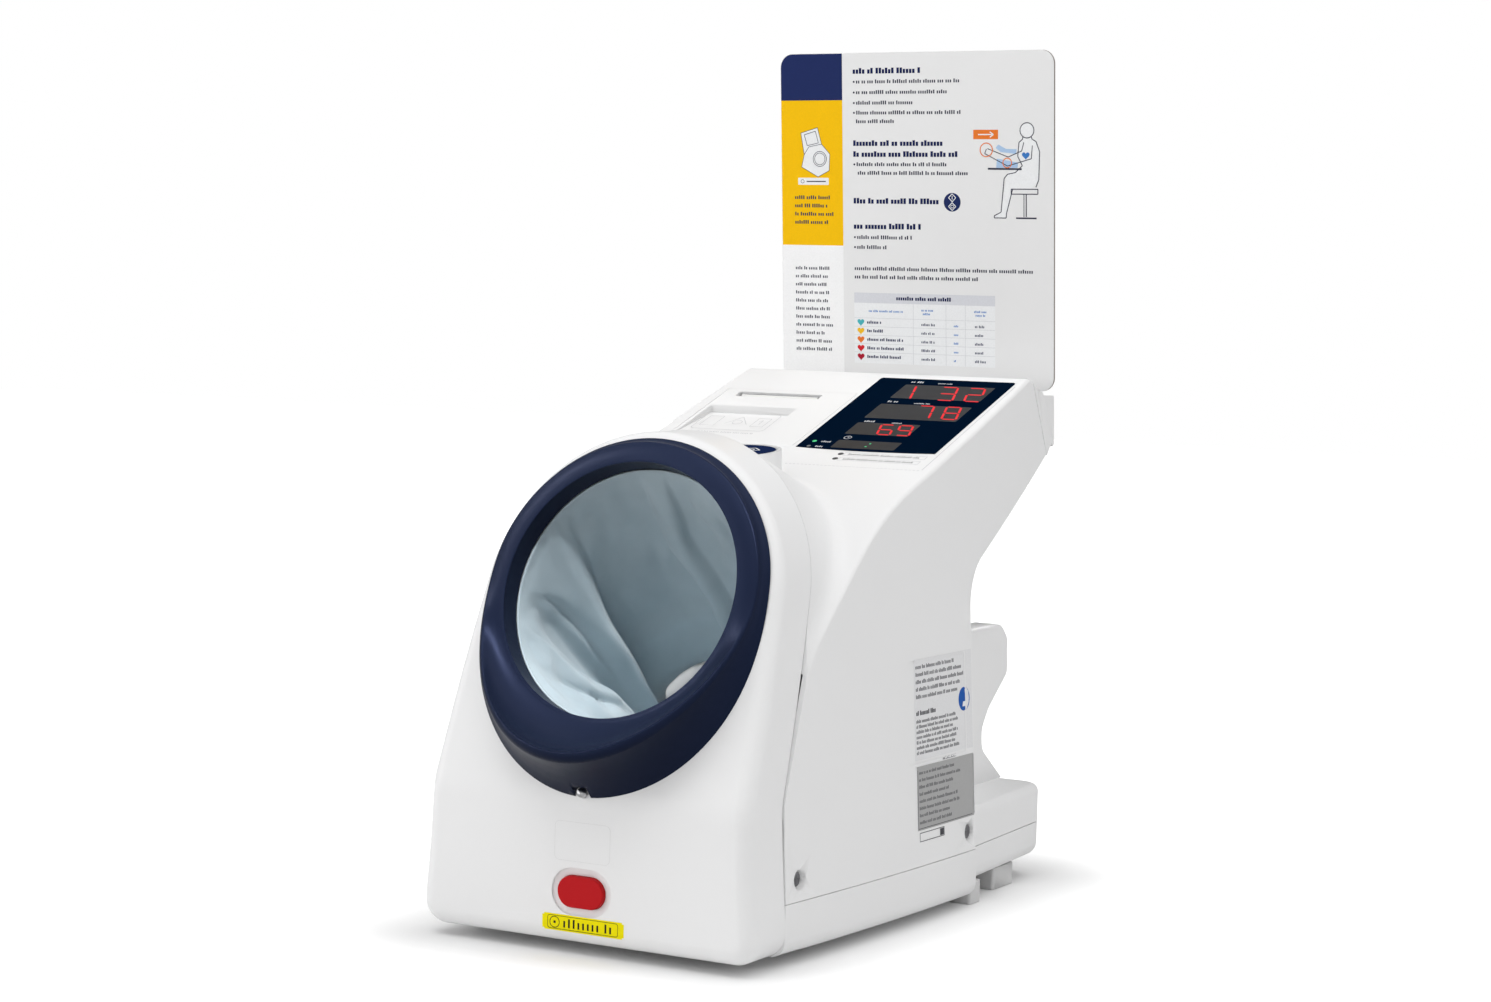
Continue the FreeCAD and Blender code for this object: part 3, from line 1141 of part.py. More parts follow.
NODES = {
    "front_cover": front_cover,
    "cuff_collar": cuff_collar,
    "collar_pin": collar_pin,
    "housing": housing,
    "head_rear_cover": head_rear_cover,
    "instruction_board": instruction_board,
    "board_holder": board_holder,
    "board_screws": board_screws,
    "cuff_drum": cuff_drum,
    "drum_screws": drum_screws,
    "exit_trim": exit_trim,
    "cuff_cloth": cuff_cloth,
    "cloth_clamp_front": lambda: cloth_clamp(-17.5),
    "cloth_clamp_rear": lambda: cloth_clamp(DRUM_REAR + 5.0),
    "air_bladder": air_bladder,
    "base_tray": base_tray,
    "rear_deck": rear_deck,
    "arm_rest": arm_rest,
    "elbow_pad": elbow_pad,
    "rubber_feet": feet,
    "rear_panel": rear_panel,
    "ac_inlet": ac_inlet,
    "inlet_pins": inlet_pins,
    "power_switch": power_switch,
    "power_rocker": power_rocker,
    "start_stop_button": start_stop_button,
    "start_stop_switch": start_stop_switch,
    "fast_stop_button": fast_stop_button,
    "fast_stop_switch": fast_stop_switch,
    "display_window": display_window,
    "display_board": display_board,
    "display_digits": display_digits,
    "status_lights": status_lights,
    "printer_cover": printer_cover,
    "hinge_pin": hinge_pin,
    "tear_bar": tear_bar,
    "platen_roller": platen_roller,
    "platen_gear": platen_gear,
    "paper_roll": paper_roll,
    "roll_spindle": roll_spindle,
    "paper_bucket": paper_bucket,
    "print_mechanism": print_mechanism,
    "air_pump": air_pump,
    "air_tube": air_tube,
    "exhaust_valve": lambda: valve(-48.0, -100.0, 34.0),
    "bleed_valve": lambda: valve(-76.0, -100.0, 34.0),
    "main_board": main_board,
    "power_supply": power_supply,
    "side_screws": side_screws,
}

for name, build in NODES.items():
    build().exportStep("parts/%s.step" % name)
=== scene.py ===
import json
import math
import random

import bmesh
import bpy
from mathutils import Matrix, Vector, noise
from mathutils.bvhtree import BVHTree

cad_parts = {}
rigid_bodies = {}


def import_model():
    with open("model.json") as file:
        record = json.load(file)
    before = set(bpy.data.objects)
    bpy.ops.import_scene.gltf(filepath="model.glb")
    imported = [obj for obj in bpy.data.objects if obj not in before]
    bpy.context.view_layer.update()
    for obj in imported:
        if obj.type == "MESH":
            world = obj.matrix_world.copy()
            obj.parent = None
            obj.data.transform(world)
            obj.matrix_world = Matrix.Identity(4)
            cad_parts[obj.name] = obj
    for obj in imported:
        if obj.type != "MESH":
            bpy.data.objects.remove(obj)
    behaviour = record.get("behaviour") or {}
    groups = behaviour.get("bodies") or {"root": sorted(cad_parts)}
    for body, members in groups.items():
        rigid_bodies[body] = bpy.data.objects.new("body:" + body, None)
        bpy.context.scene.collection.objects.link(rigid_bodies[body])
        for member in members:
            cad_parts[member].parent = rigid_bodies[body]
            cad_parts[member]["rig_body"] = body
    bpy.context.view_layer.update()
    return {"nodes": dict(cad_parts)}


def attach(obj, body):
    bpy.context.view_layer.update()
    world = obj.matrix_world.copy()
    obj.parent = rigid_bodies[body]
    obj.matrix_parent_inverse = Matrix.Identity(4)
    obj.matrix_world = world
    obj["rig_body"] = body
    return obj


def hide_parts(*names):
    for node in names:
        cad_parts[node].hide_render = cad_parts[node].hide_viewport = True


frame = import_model()
nodes = frame["nodes"]
scene = bpy.context.scene
MM = 0.001

# ---------------------------------------------------------------- sizes shared with the frame
SLOPE = math.radians(19.6)            # slope of the panel and of the arm tunnel
LIP = Vector((0, -160.1, 203.5))      # middle of the collar's lip
FRONT_FACE = Vector((0, -191.5, 0))
PANEL_FOOT = Vector((0, -60.0, 240.1))
BOARD_FOOT = Vector((0, 213.6, 315.0))
BOARD_LEAN = math.radians(4.6)
BUTTON_TOP = Vector((0, -25.0, 277.0))
BUTTON_TILT = math.radians(6.0)
PRINT_T = 0.04                        # thickness of a printed film
WALL_STEP = 2.5                       # longest side of a print's pieces on a curved wall
WALL_LIFT = 0.05                      # height of a print off the wall that it follows
WALL_REACH = 0.3                      # metres off a print's plane at which the search for its wall starts
DRUM_FREE_R = 75.2                    # the cuff cloth stays inside this radius
LID_RECESS = -0.9                     # floor of the shallow recess in the printer lid
PANEL_LIFT = 0.02                     # height of a print off the sloping panel


def placed(origin, turn):
    """Frame with its origin in millimetres and its turn about X, giving metres."""
    return Matrix.Translation(origin * MM) @ Matrix.Rotation(turn, 4, "X") @ Matrix.Scale(MM, 4)


PANEL = placed(PANEL_FOOT, SLOPE)                          # (x, up the slope, height off it)
TUNNEL = placed(LIP, math.radians(90) - SLOPE)             # (x, up the face, out of the tunnel)
BOARD = placed(BOARD_FOOT, math.radians(90) + BOARD_LEAN)  # (x, up the board, towards the user)
KEY = placed(BUTTON_TOP, BUTTON_TILT)
FRONT = placed(FRONT_FACE, math.radians(90))               # (x, up, out of the front face)
SIDE = Matrix(((0, 0, MM, 0), (MM, 0, 0, 0), (0, MM, 0, 0), (0, 0, 0, 1)))   # (y, up, out of the right side)


# ---------------------------------------------------------------- node groups and materials
def tree_node(tree, kind, **values):
    node = tree.nodes.new(kind)
    for key, value in values.items():
        if key in node.inputs:
            node.inputs[key].default_value = value
        else:
            setattr(node, key, value)
    return node


def group_socket(group, name, direction, kind, value=None):
    socket = group.interface.new_socket(name, in_out=direction, socket_type="NodeSocket" + kind)
    if value is not None:
        socket.default_value = value
    return socket


def moulded_grain_group():
    """Fine moulding texture, faint cloudy tone and slow change of gloss, for plastics."""
    group = bpy.data.node_groups.new("moulded_grain", "ShaderNodeTree")
    group_socket(group, "Tone", "INPUT", "Color", (0.8, 0.8, 0.8, 1))
    group_socket(group, "Cloud", "INPUT", "Float", 0.03)
    group_socket(group, "Gloss", "INPUT", "Float", 0.35)
    group_socket(group, "Grain Scale", "INPUT", "Float", 2600.0)
    group_socket(group, "Colour", "OUTPUT", "Color")
    group_socket(group, "Roughness", "OUTPUT", "Float")
    group_socket(group, "Height", "OUTPUT", "Float")
    enter = group.nodes.new("NodeGroupInput")
    leave = group.nodes.new("NodeGroupOutput")
    place = group.nodes.new("ShaderNodeTexCoord")
    link = group.links.new
    cloud = tree_node(group, "ShaderNodeTexNoise", Scale=14.0, Detail=3.0)
    link(place.outputs["Object"], cloud.inputs["Vector"])
    swing = tree_node(group, "ShaderNodeMapRange")
    swing.inputs["To Min"].default_value = -1.0
    link(cloud.outputs["Fac"], swing.inputs["Value"])
    amount = tree_node(group, "ShaderNodeMath", operation="MULTIPLY")
    link(swing.outputs["Result"], amount.inputs[0])
    link(enter.outputs["Cloud"], amount.inputs[1])
    level = tree_node(group, "ShaderNodeMath", operation="ADD")
    level.inputs[1].default_value = 1.0
    link(amount.outputs[0], level.inputs[0])
    tone = tree_node(group, "ShaderNodeVectorMath", operation="SCALE")
    link(enter.outputs["Tone"], tone.inputs[0])
    link(level.outputs[0], tone.inputs["Scale"])
    link(tone.outputs["Vector"], leave.inputs["Colour"])
    smear = tree_node(group, "ShaderNodeTexNoise", Scale=55.0, Detail=4.0)
    link(place.outputs["Object"], smear.inputs["Vector"])
    gloss = tree_node(group, "ShaderNodeMapRange")
    gloss.inputs["To Min"].default_value = -0.05
    gloss.inputs["To Max"].default_value = 0.05
    link(smear.outputs["Fac"], gloss.inputs["Value"])
    rough = tree_node(group, "ShaderNodeMath", operation="ADD")
    link(enter.outputs["Gloss"], rough.inputs[0])
    link(gloss.outputs["Result"], rough.inputs[1])
    link(rough.outputs[0], leave.inputs["Roughness"])
    grain = tree_node(group, "ShaderNodeTexNoise", Detail=2.0, Roughness=0.6)
    link(place.outputs["Object"], grain.inputs["Vector"])
    link(enter.outputs["Grain Scale"], grain.inputs["Scale"])
    link(grain.outputs["Fac"], leave.inputs["Height"])
    return group


GRAIN = moulded_grain_group()


def new_material(name):
    material = bpy.data.materials.new(name)
    material.use_nodes = True
    return material, material.node_tree, material.node_tree.nodes["Principled BSDF"]


def plastic(name, tone, gloss=0.35, cloud=0.02, bump=0.00001, grain=2600.0, coat=0.0, spec=0.5, sheen=None):
    """Moulded plastic with its own grain, gloss and faint change of tone."""
    material, tree, shader = new_material(name)
    link = tree.links.new
    shader.inputs["Specular IOR Level"].default_value = spec
    shader.inputs["Coat Weight"].default_value = coat
    shader.inputs["Coat Roughness"].default_value = 0.08
    if sheen:
        shader.inputs["Specular Tint"].default_value = (*sheen, 1)
    grained = tree.nodes.new("ShaderNodeGroup")
    grained.node_tree = GRAIN
    grained.inputs["Tone"].default_value = (*tone, 1)
    grained.inputs["Cloud"].default_value = cloud
    grained.inputs["Gloss"].default_value = gloss
    grained.inputs["Grain Scale"].default_value = grain
    link(grained.outputs["Colour"], shader.inputs["Base Color"])
    link(grained.outputs["Roughness"], shader.inputs["Roughness"])
    relief = tree_node(tree, "ShaderNodeBump", Strength=0.6, Distance=bump)
    link(grained.outputs["Height"], relief.inputs["Height"])
    link(relief.outputs["Normal"], shader.inputs["Normal"])
    return material


def metal(name, tone, gloss=0.3, streak=(4.0, 4.0, 900.0)):
    """Turned or drawn metal with fine streaks."""
    material, tree, shader = new_material(name)
    link = tree.links.new
    shader.inputs["Metallic"].default_value = 1.0
    place = tree.nodes.new("ShaderNodeTexCoord")
    stretch = tree_node(tree, "ShaderNodeMapping", Scale=streak)
    lines = tree_node(tree, "ShaderNodeTexNoise", Scale=60.0, Detail=4.0)
    link(place.outputs["Object"], stretch.inputs["Vector"])
    link(stretch.outputs["Vector"], lines.inputs["Vector"])
    shade = tree_node(tree, "ShaderNodeMapRange")
    shade.inputs["To Min"].default_value = gloss - 0.08
    shade.inputs["To Max"].default_value = gloss + 0.12
    link(lines.outputs["Fac"], shade.inputs["Value"])
    link(shade.outputs["Result"], shader.inputs["Roughness"])
    mix = tree_node(tree, "ShaderNodeMix", data_type="RGBA")
    mix.inputs["A"].default_value = (*[c * 0.82 for c in tone], 1)
    mix.inputs["B"].default_value = (*tone, 1)
    link(lines.outputs["Fac"], mix.inputs["Factor"])
    link(mix.outputs["Result"], shader.inputs["Base Color"])
    relief = tree_node(tree, "ShaderNodeBump", Strength=0.4, Distance=0.00002)
    link(lines.outputs["Fac"], relief.inputs["Height"])
    link(relief.outputs["Normal"], shader.inputs["Normal"])
    return material


def cloth_material():
    """Coated cuff cloth: close plain weave, cool grey-green, with a soft sheen."""
    material, tree, shader = new_material("cuff_cloth_weave")
    shader.inputs["Roughness"].default_value = 0.6
    shader.inputs["Sheen Weight"].default_value = 0.2
    shader.inputs["Specular IOR Level"].default_value = 0.25
    shader.inputs["Sheen Roughness"].default_value = 0.4
    link = tree.links.new
    place = tree.nodes.new("ShaderNodeTexCoord")
    worn = tree_node(tree, "ShaderNodeTexNoise", Scale=22.0, Detail=4.0)
    link(place.outputs["Object"], worn.inputs["Vector"])
    tone = tree.nodes.new("ShaderNodeValToRGB")
    tone.color_ramp.elements[0].position = 0.3
    tone.color_ramp.elements[0].color = (0.325, 0.395, 0.435, 1)
    tone.color_ramp.elements[1].position = 0.72
    tone.color_ramp.elements[1].color = (0.42, 0.50, 0.54, 1)
    link(worn.outputs["Fac"], tone.inputs["Fac"])
    threads = []
    for axis, count in (("U", 900.0), ("V", 420.0)):
        pick = tree_node(tree, "ShaderNodeTexWave", Scale=1.0, Distortion=0.15)
        pick.bands_direction = "X"
        spread = tree_node(tree, "ShaderNodeMapping")
        turn = (0, 0, 0) if axis == "U" else (0, 0, math.radians(90))
        spread.inputs["Rotation"].default_value = turn
        spread.inputs["Scale"].default_value = (count, count, 1)
        link(place.outputs["UV"], spread.inputs["Vector"])
        link(spread.outputs["Vector"], pick.inputs["Vector"])
        threads.append(pick)
    weave = tree_node(tree, "ShaderNodeMath", operation="ADD")
    link(threads[0].outputs["Fac"], weave.inputs[0])
    link(threads[1].outputs["Fac"], weave.inputs[1])
    fibre = tree_node(tree, "ShaderNodeTexNoise", Scale=1400.0, Detail=2.0)
    link(place.outputs["Object"], fibre.inputs["Vector"])
    depth = tree_node(tree, "ShaderNodeMath", operation="ADD")
    link(weave.outputs[0], depth.inputs[0])
    link(fibre.outputs["Fac"], depth.inputs[1])
    relief = tree_node(tree, "ShaderNodeBump", Strength=0.5, Distance=0.00006)
    link(depth.outputs[0], relief.inputs["Height"])
    link(relief.outputs["Normal"], shader.inputs["Normal"])
    link(tone.outputs["Color"], shader.inputs["Base Color"])
    return material


def printed(name, tone, gloss=0.4, glow=0.0):
    """Ink or film with a faint uneven lay-down; glow lights it from behind."""
    material, tree, shader = new_material(name)
    link = tree.links.new
    place = tree.nodes.new("ShaderNodeTexCoord")
    lay = tree_node(tree, "ShaderNodeTexNoise", Scale=900.0, Detail=2.0)
    link(place.outputs["Object"], lay.inputs["Vector"])
    mix = tree_node(tree, "ShaderNodeMix", data_type="RGBA")
    mix.inputs["A"].default_value = (*[c * 0.92 for c in tone], 1)
    mix.inputs["B"].default_value = (*[min(1.0, c * 1.05) for c in tone], 1)
    link(lay.outputs["Fac"], mix.inputs["Factor"])
    link(mix.outputs["Result"], shader.inputs["Base Color"])
    shader.inputs["Roughness"].default_value = gloss
    shader.inputs["Specular IOR Level"].default_value = 0.08
    if glow:
        link(mix.outputs["Result"], shader.inputs["Emission Color"])
        shader.inputs["Emission Strength"].default_value = glow
    return material


M = {
    "white": plastic("white_housing", (0.86, 0.86, 0.862), 0.42, 0.010, spec=0.24),
    "front": plastic("white_front_cover", (0.86, 0.86, 0.862), 0.38, 0.010, spec=0.24),
    "lid": plastic("white_lid", (0.86, 0.86, 0.86), 0.44, 0.010, spec=0.24),
    "pad": plastic("elbow_pad_white", (0.84, 0.84, 0.845), 0.45, 0.03, 0.00003, 900.0, spec=0.3),
    "navy": plastic("navy_collar", (0.0060, 0.0092, 0.0225), 0.36, 0.12, 0.00002, 1800.0, spec=0.10,
                    sheen=(0.42, 0.52, 1.0)),
    "drum": plastic("drum_grey", (0.55, 0.57, 0.58), 0.5, 0.04),
    "bladder": plastic("bladder_sheet", (0.42, 0.37, 0.3), 0.55, 0.12, 0.00003, 700.0),
    "board": plastic("board_sheet", (0.82, 0.82, 0.82), 0.45, 0.01, 0.00001, 1500.0, spec=0.25),
    "edge": plastic("board_edge", (0.30, 0.27, 0.25), 0.6, 0.15, 0.00003, 900.0, spec=0.2),
    "window": plastic("navy_window", (0.0009, 0.0062, 0.0190), 0.5, 0.05, 0.000004, 900.0, spec=0.0),
    "block": plastic("digit_block", (0.03, 0.03, 0.032), 0.5, 0.05),
    "black": plastic("black_moulding", (0.018, 0.018, 0.019), 0.42, 0.1, 0.00003, 1500.0),
    "grey": plastic("grey_moulding", (0.30, 0.31, 0.32), 0.45, 0.06, 0.00003, 1500.0),
    "rubber": plastic("foot_rubber", (0.66, 0.66, 0.66), 0.75, 0.06, 0.00005, 1200.0, spec=0.2),
    "platen": plastic("platen_rubber", (0.02, 0.02, 0.02), 0.7, 0.15, 0.00004, 1500.0),
    "paper": plastic("thermal_paper", (0.82, 0.82, 0.8), 0.7, 0.02, 0.00001, 3000.0, spec=0.15),
    "red": plastic("red_key", (0.50, 0.008, 0.012), 0.42, 0.03, 0.000008, 2000.0, spec=0.1),
    "blue": plastic("blue_key", (0.0100, 0.0200, 0.0700), 0.7, 0.05, 0.000008, 2000.0, spec=0.0),
    "circuit": plastic("circuit_board", (0.02, 0.12, 0.05), 0.3, 0.2, 0.00003, 700.0, 0.3),
    "steel": metal("plated_steel", (0.62, 0.62, 0.63), 0.28),
    "screw": metal("darkened_screw", (0.22, 0.22, 0.23), 0.38),
    "brass": metal("brass_pins", (0.72, 0.53, 0.24), 0.3),
    "alloy": metal("pump_alloy", (0.66, 0.67, 0.68), 0.42),
    "cloth": cloth_material(),
}


# ---------------------------------------------------------------- carried-over mouldings
def smooth_copy(node, material, angle=32.0):
    """Merged copy of a CAD node with smooth rounds and crisp corners."""
    source = nodes[node]
    mesh = bpy.data.meshes.new(node + "_finished")
    work = bmesh.new()
    work.from_mesh(source.data)
    bmesh.ops.remove_doubles(work, verts=work.verts, dist=0.000002)
    work.to_mesh(mesh)
    work.free()
    mesh.materials.clear()
    mesh.materials.append(material)
    for face in mesh.polygons:
        face.material_index = 0
    mesh.shade_smooth()
    mesh.set_sharp_from_angle(angle=math.radians(angle))
    piece = bpy.data.objects.new(node + "_finished", mesh)
    scene.collection.objects.link(piece)
    even = piece.modifiers.new("even_shading", "WEIGHTED_NORMAL")
    even.keep_sharp = True
    even.weight = 60
    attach(piece, source["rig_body"])
    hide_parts(node)
    return piece


FINISH = {
    "front_cover": "front", "cuff_collar": "navy", "collar_pin": "steel", "housing": "white",
    "head_rear_cover": "white", "instruction_board": "board", "board_holder": "white",
    "board_screws": "steel", "cuff_drum": "drum", "drum_screws": "steel", "exit_trim": "white",
    "cloth_clamp_front": "drum", "cloth_clamp_rear": "drum", "air_bladder": "bladder",
    "base_tray": "white", "rear_deck": "white", "arm_rest": "white", "elbow_pad": "pad",
    "rubber_feet": "rubber", "rear_panel": "grey", "ac_inlet": "black", "inlet_pins": "brass",
    "power_switch": "black", "power_rocker": "black", "start_stop_button": "blue",
    "start_stop_switch": "circuit", "fast_stop_button": "red", "fast_stop_switch": "circuit",
    "display_window": "window", "display_board": "circuit", "display_digits": "block",
    "status_lights": "block", "printer_cover": "lid", "hinge_pin": "steel", "tear_bar": "steel",
    "platen_roller": "platen", "platen_gear": "grey", "paper_roll": "paper", "roll_spindle": "grey",
    "paper_bucket": "grey", "print_mechanism": "black", "air_pump": "alloy", "air_tube": "rubber",
    "exhaust_valve": "alloy", "bleed_valve": "alloy", "main_board": "circuit", "power_supply": "alloy",
    "side_screws": "screw",
}

finished = {node: smooth_copy(node, M[finish]) for node, finish in FINISH.items()}


def edge_finish(piece, facing, material):
    """Gives the cut edges of a sheet, which face away from its two sides, their own material."""
    piece.data.materials.append(material)
    for face in piece.data.polygons:
        if abs(face.normal.dot(facing)) < 0.5:
            face.material_index = 1


edge_finish(finished["instruction_board"], BOARD.to_3x3().col[2].normalized(), M["edge"])


# ---------------------------------------------------------------- flat prints
class Print:
    """Thin printed shapes drawn in one frame, each a closed plate standing on the surface."""

    def __init__(self, name, place, material, body, slot, base, thick=PRINT_T, onto=None):
        self.name, self.place, self.material = name, place, material
        self.body, self.slot, self.base, self.thick, self.onto = body, slot, base, thick, onto
        self.work = bmesh.new()

    def raise_faces(self, faces):
        raised = bmesh.ops.extrude_face_region(self.work, geom=faces)
        top = [v for v in raised["geom"] if isinstance(v, bmesh.types.BMVert)]
        bmesh.ops.translate(self.work, verts=top, vec=(0, 0, self.thick))

    def shape(self, points):
        low = [self.work.verts.new((x, y, self.base)) for x, y in points]
        self.raise_faces([self.work.faces.new(low)])

    def box(self, x0, x1, y0, y1):
        self.shape([(x0, y0), (x1, y0), (x1, y1), (x0, y1)])

    def sheet(self, x0, x1, y0, y1):
        """Film cut in small squares, so that it can follow a curved wall."""
        across, upward = (max(1, round(abs(b - a) / WALL_STEP)) for a, b in ((x0, x1), (y0, y1)))
        grid = [[self.work.verts.new((x0 + (x1 - x0) * i / across, y0 + (y1 - y0) * j / upward, self.base))
                 for j in range(upward + 1)] for i in range(across + 1)]
        squares = [(grid[i][j], grid[i + 1][j], grid[i + 1][j + 1], grid[i][j + 1])
                   for i in range(across) for j in range(upward)]
        self.raise_faces([self.work.faces.new(square) for square in squares])

    def round_box(self, x0, x1, y0, y1, radius, steps=6):
        self.shape(round_corners(x0, x1, y0, y1, radius, steps))

    def frame_box(self, x0, x1, y0, y1, width):
        self.loop([(x0, y0), (x1, y0), (x1, y1), (x0, y1)], width)

    def disc(self, x, y, radius, steps=32):
        turns = [2 * math.pi * i / steps for i in range(steps)]
        self.shape([(x + radius * math.cos(t), y + radius * math.sin(t)) for t in turns])

    def stroke(self, points, width):
        """Line through the points, each run its own strip, cut into short lengths on a curved wall."""
        for a, b in zip(points, points[1:]):
            start, run = Vector((*a, self.base)), Vector((b[0] - a[0], b[1] - a[1], 0))
            if run.length < 1e-6:
                continue
            side = Vector((-run.y, run.x, 0)).normalized() * width / 2
            parts = math.ceil(run.length / WALL_STEP) if self.onto else 1
            rows = [[self.work.verts.new(start + run * (i / parts) + side * sign) for sign in (-1, 1)]
                    for i in range(parts + 1)]
            self.raise_faces([self.work.faces.new((low[0], high[0], high[1], low[1]))
                              for low, high in zip(rows, rows[1:])])

    def loop(self, points, width):
        self.stroke(points + points[:1], width)

    def ring(self, x, y, radius, width, steps=36):
        turns = [2 * math.pi * i / steps for i in range(steps + 1)]
        self.stroke([(x + radius * math.cos(t), y + radius * math.sin(t)) for t in turns], width)

    def words(self, x0, x1, y, height, rng, bold=0.5):
        """Row of little upright bars that stands for a line of small print, with no letters in it."""
        x = x0
        pitch = height * 0.62
        while x < x1 - pitch:
            for _ in range(rng.randint(2, 8)):
                if x > x1 - pitch * bold:
                    break
                tall = height if rng.random() < 0.3 else height * 0.74
                self.box(x, x + pitch * bold, y, y + tall)
                x += pitch
            x += pitch * 0.7

    def heart(self, x, y, size):
        points = []
        for i in range(28):
            t = 2 * math.pi * i / 28
            u = 16 * math.sin(t) ** 3
            v = 13 * math.cos(t) - 5 * math.cos(2 * t) - 2 * math.cos(3 * t) - math.cos(4 * t)
            points.append((x + u * size / 32, y + v * size / 32))
        self.shape(points)

    def settle(self):
        """Lays every point on the wall below it, keeping its height off that wall."""
        along = -self.place.to_3x3().col[2].normalized()
        for vertex in self.work.verts:
            height = vertex.co.z * MM
            start = self.place @ Vector((vertex.co.x, vertex.co.y, 0)) - along * WALL_REACH
            spot, normal, _, _ = self.onto.ray_cast(start, along)
            vertex.co = spot + normal * height

    def done(self):
        bmesh.ops.recalc_face_normals(self.work, faces=self.work.faces)
        if self.onto:
            self.settle()
        else:
            bmesh.ops.transform(self.work, matrix=self.place, verts=self.work.verts)
        mesh = bpy.data.meshes.new(self.name)
        self.work.to_mesh(mesh)
        self.work.free()
        mesh.materials.append(self.material)
        piece = bpy.data.objects.new(self.name, mesh)
        scene.collection.objects.link(piece)
        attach(piece, self.body)


def round_corners(x0, x1, y0, y1, radius, steps=6):
    points = []
    for cx, cy, start in ((x1 - radius, y1 - radius, 0), (x0 + radius, y1 - radius, 90),
                          (x0 + radius, y0 + radius, 180), (x1 - radius, y0 + radius, 270)):
        for i in range(steps + 1):
            turn = math.radians(start + 90 * i / steps)
            points.append((cx + radius * math.cos(turn), cy + radius * math.sin(turn)))
    return points


def dash_row_tree():
    """Row of equal flat bars along X or up Y, for a broken line or the rules of a table."""
    tree = bpy.data.node_groups.new("dash_row", "GeometryNodeTree")
    group_socket(tree, "Count", "INPUT", "Int", 10)
    group_socket(tree, "Step", "INPUT", "Vector", (2.0, 0.0, 0.0))
    group_socket(tree, "Bar", "INPUT", "Vector", (1.0, 0.4, PRINT_T))
    group_socket(tree, "Ink", "INPUT", "Material")
    group_socket(tree, "Geometry", "OUTPUT", "Geometry")
    enter = tree.nodes.new("NodeGroupInput")
    leave = tree.nodes.new("NodeGroupOutput")
    line = tree_node(tree, "GeometryNodeMeshLine", mode="OFFSET")
    bar = tree.nodes.new("GeometryNodeMeshCube")
    spread = tree.nodes.new("GeometryNodeInstanceOnPoints")
    real = tree.nodes.new("GeometryNodeRealizeInstances")
    paint = tree.nodes.new("GeometryNodeSetMaterial")
    link = tree.links.new
    link(enter.outputs["Count"], line.inputs["Count"])
    link(enter.outputs["Step"], line.inputs["Offset"])
    link(enter.outputs["Bar"], bar.inputs["Size"])
    link(line.outputs["Mesh"], spread.inputs["Points"])
    link(bar.outputs["Mesh"], spread.inputs["Instance"])
    link(spread.outputs["Instances"], real.inputs["Geometry"])
    link(real.outputs["Geometry"], paint.inputs["Geometry"])
    link(enter.outputs["Ink"], paint.inputs["Material"])
    link(paint.outputs["Geometry"], leave.inputs["Geometry"])
    return tree


DASH_ROW = dash_row_tree()


def dash_row(name, place, start, count, step, bar, ink, height):
    """Prints a row of bars whose first one is centred on start, at a height off the surface."""
    piece = bpy.data.objects.new(name, bpy.data.meshes.new(name))
    scene.collection.objects.link(piece)
    row = piece.modifiers.new("bars", "NODES")
    row.node_group = DASH_ROW
    values = {"Count": count, "Step": (*step, 0.0), "Bar": (*bar, PRINT_T), "Ink": ink}
    for socket in DASH_ROW.interface.items_tree:
        if socket.in_out == "INPUT":
            row[socket.identifier] = values[socket.name]
    printed_row = bpy.data.meshes.new_from_object(piece.evaluated_get(bpy.context.evaluated_depsgraph_get()))
    piece.modifiers.clear()
    printed_row.transform(place @ Matrix.Translation((*start, height + PRINT_T / 2)))
    printed_row.materials.clear()
    printed_row.materials.append(ink)
    for face in printed_row.polygons:
        face.material_index = 0
    piece.data = printed_row
    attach(piece, "root")


# ---------------------------------------------------------------- display
WINDOW_TOP = 0.15
PANES = [                             # left, right, foot and top of each dark pane
    (24.0, 87.0, 198.0, 222.3),
    (23.0, 86.5, 162.5, 187.4),
    (23.0, 66.5, 134.6, 154.4),
    (24.5, 68.0, 111.5, 124.3),
]
PANE_CORNER = 1.2
SEGMENTS = {"1": "ef", "2": "abged", "3": "abgcd", "6": "afgedc", "7": "abc", "8": "abcdefg", "9": "abcdfg"}
LIT = [                               # x, distance up the panel, radius and number of sides of each lamp
    (47.2, 115.4, 0.7, 12),
    (48.0, 120.2, 0.7, 12),
    (9.5, 120.2, 1.5, 20),
]
UNLIT = (9.5, 112.0, 1.4, 20)
READINGS = [                          # figures, left end, pitch, foot, width and height
    ("132", 38.4, 18.9, 197.6, 10.7, 22.6),
    ("78", 56.4, 18.6, 166.0, 9.8, 20.6),
    ("69", 44.8, 13.0, 136.0, 8.8, 16.2),
]
DIGIT_LEAN = -0.26
BAR_W = 1.5


def digit(plate, figure, x, y, width, height):
    """Seven-segment figure made of bevelled bars that lean a little."""
    half, gap = BAR_W / 2, BAR_W * 0.3
    middle = height / 2
    spots = {
        "a": (0, height, width, height), "g": (0, middle, width, middle), "d": (0, 0, width, 0),
        "f": (0, middle, 0, height), "e": (0, 0, 0, middle),
        "b": (width, middle, width, height), "c": (width, 0, width, middle),
    }
    for name in SEGMENTS[figure]:
        x0, y0, x1, y1 = spots[name]
        if y0 == y1:
            bar = [(x0 + gap, y0), (x0 + gap + half, y0 + half), (x1 - gap - half, y0 + half), (x1 - gap, y0),
                   (x1 - gap - half, y0 - half), (x0 + gap + half, y0 - half)]
        else:
            bar = [(x0, y0 + gap), (x0 + half, y0 + gap + half), (x0 + half, y1 - gap - half), (x0, y1 - gap),
                   (x0 - half, y1 - gap - half), (x0 - half, y0 + gap + half)]
        plate.shape([(x + u + DIGIT_LEAN * v, y + v) for u, v in bar])


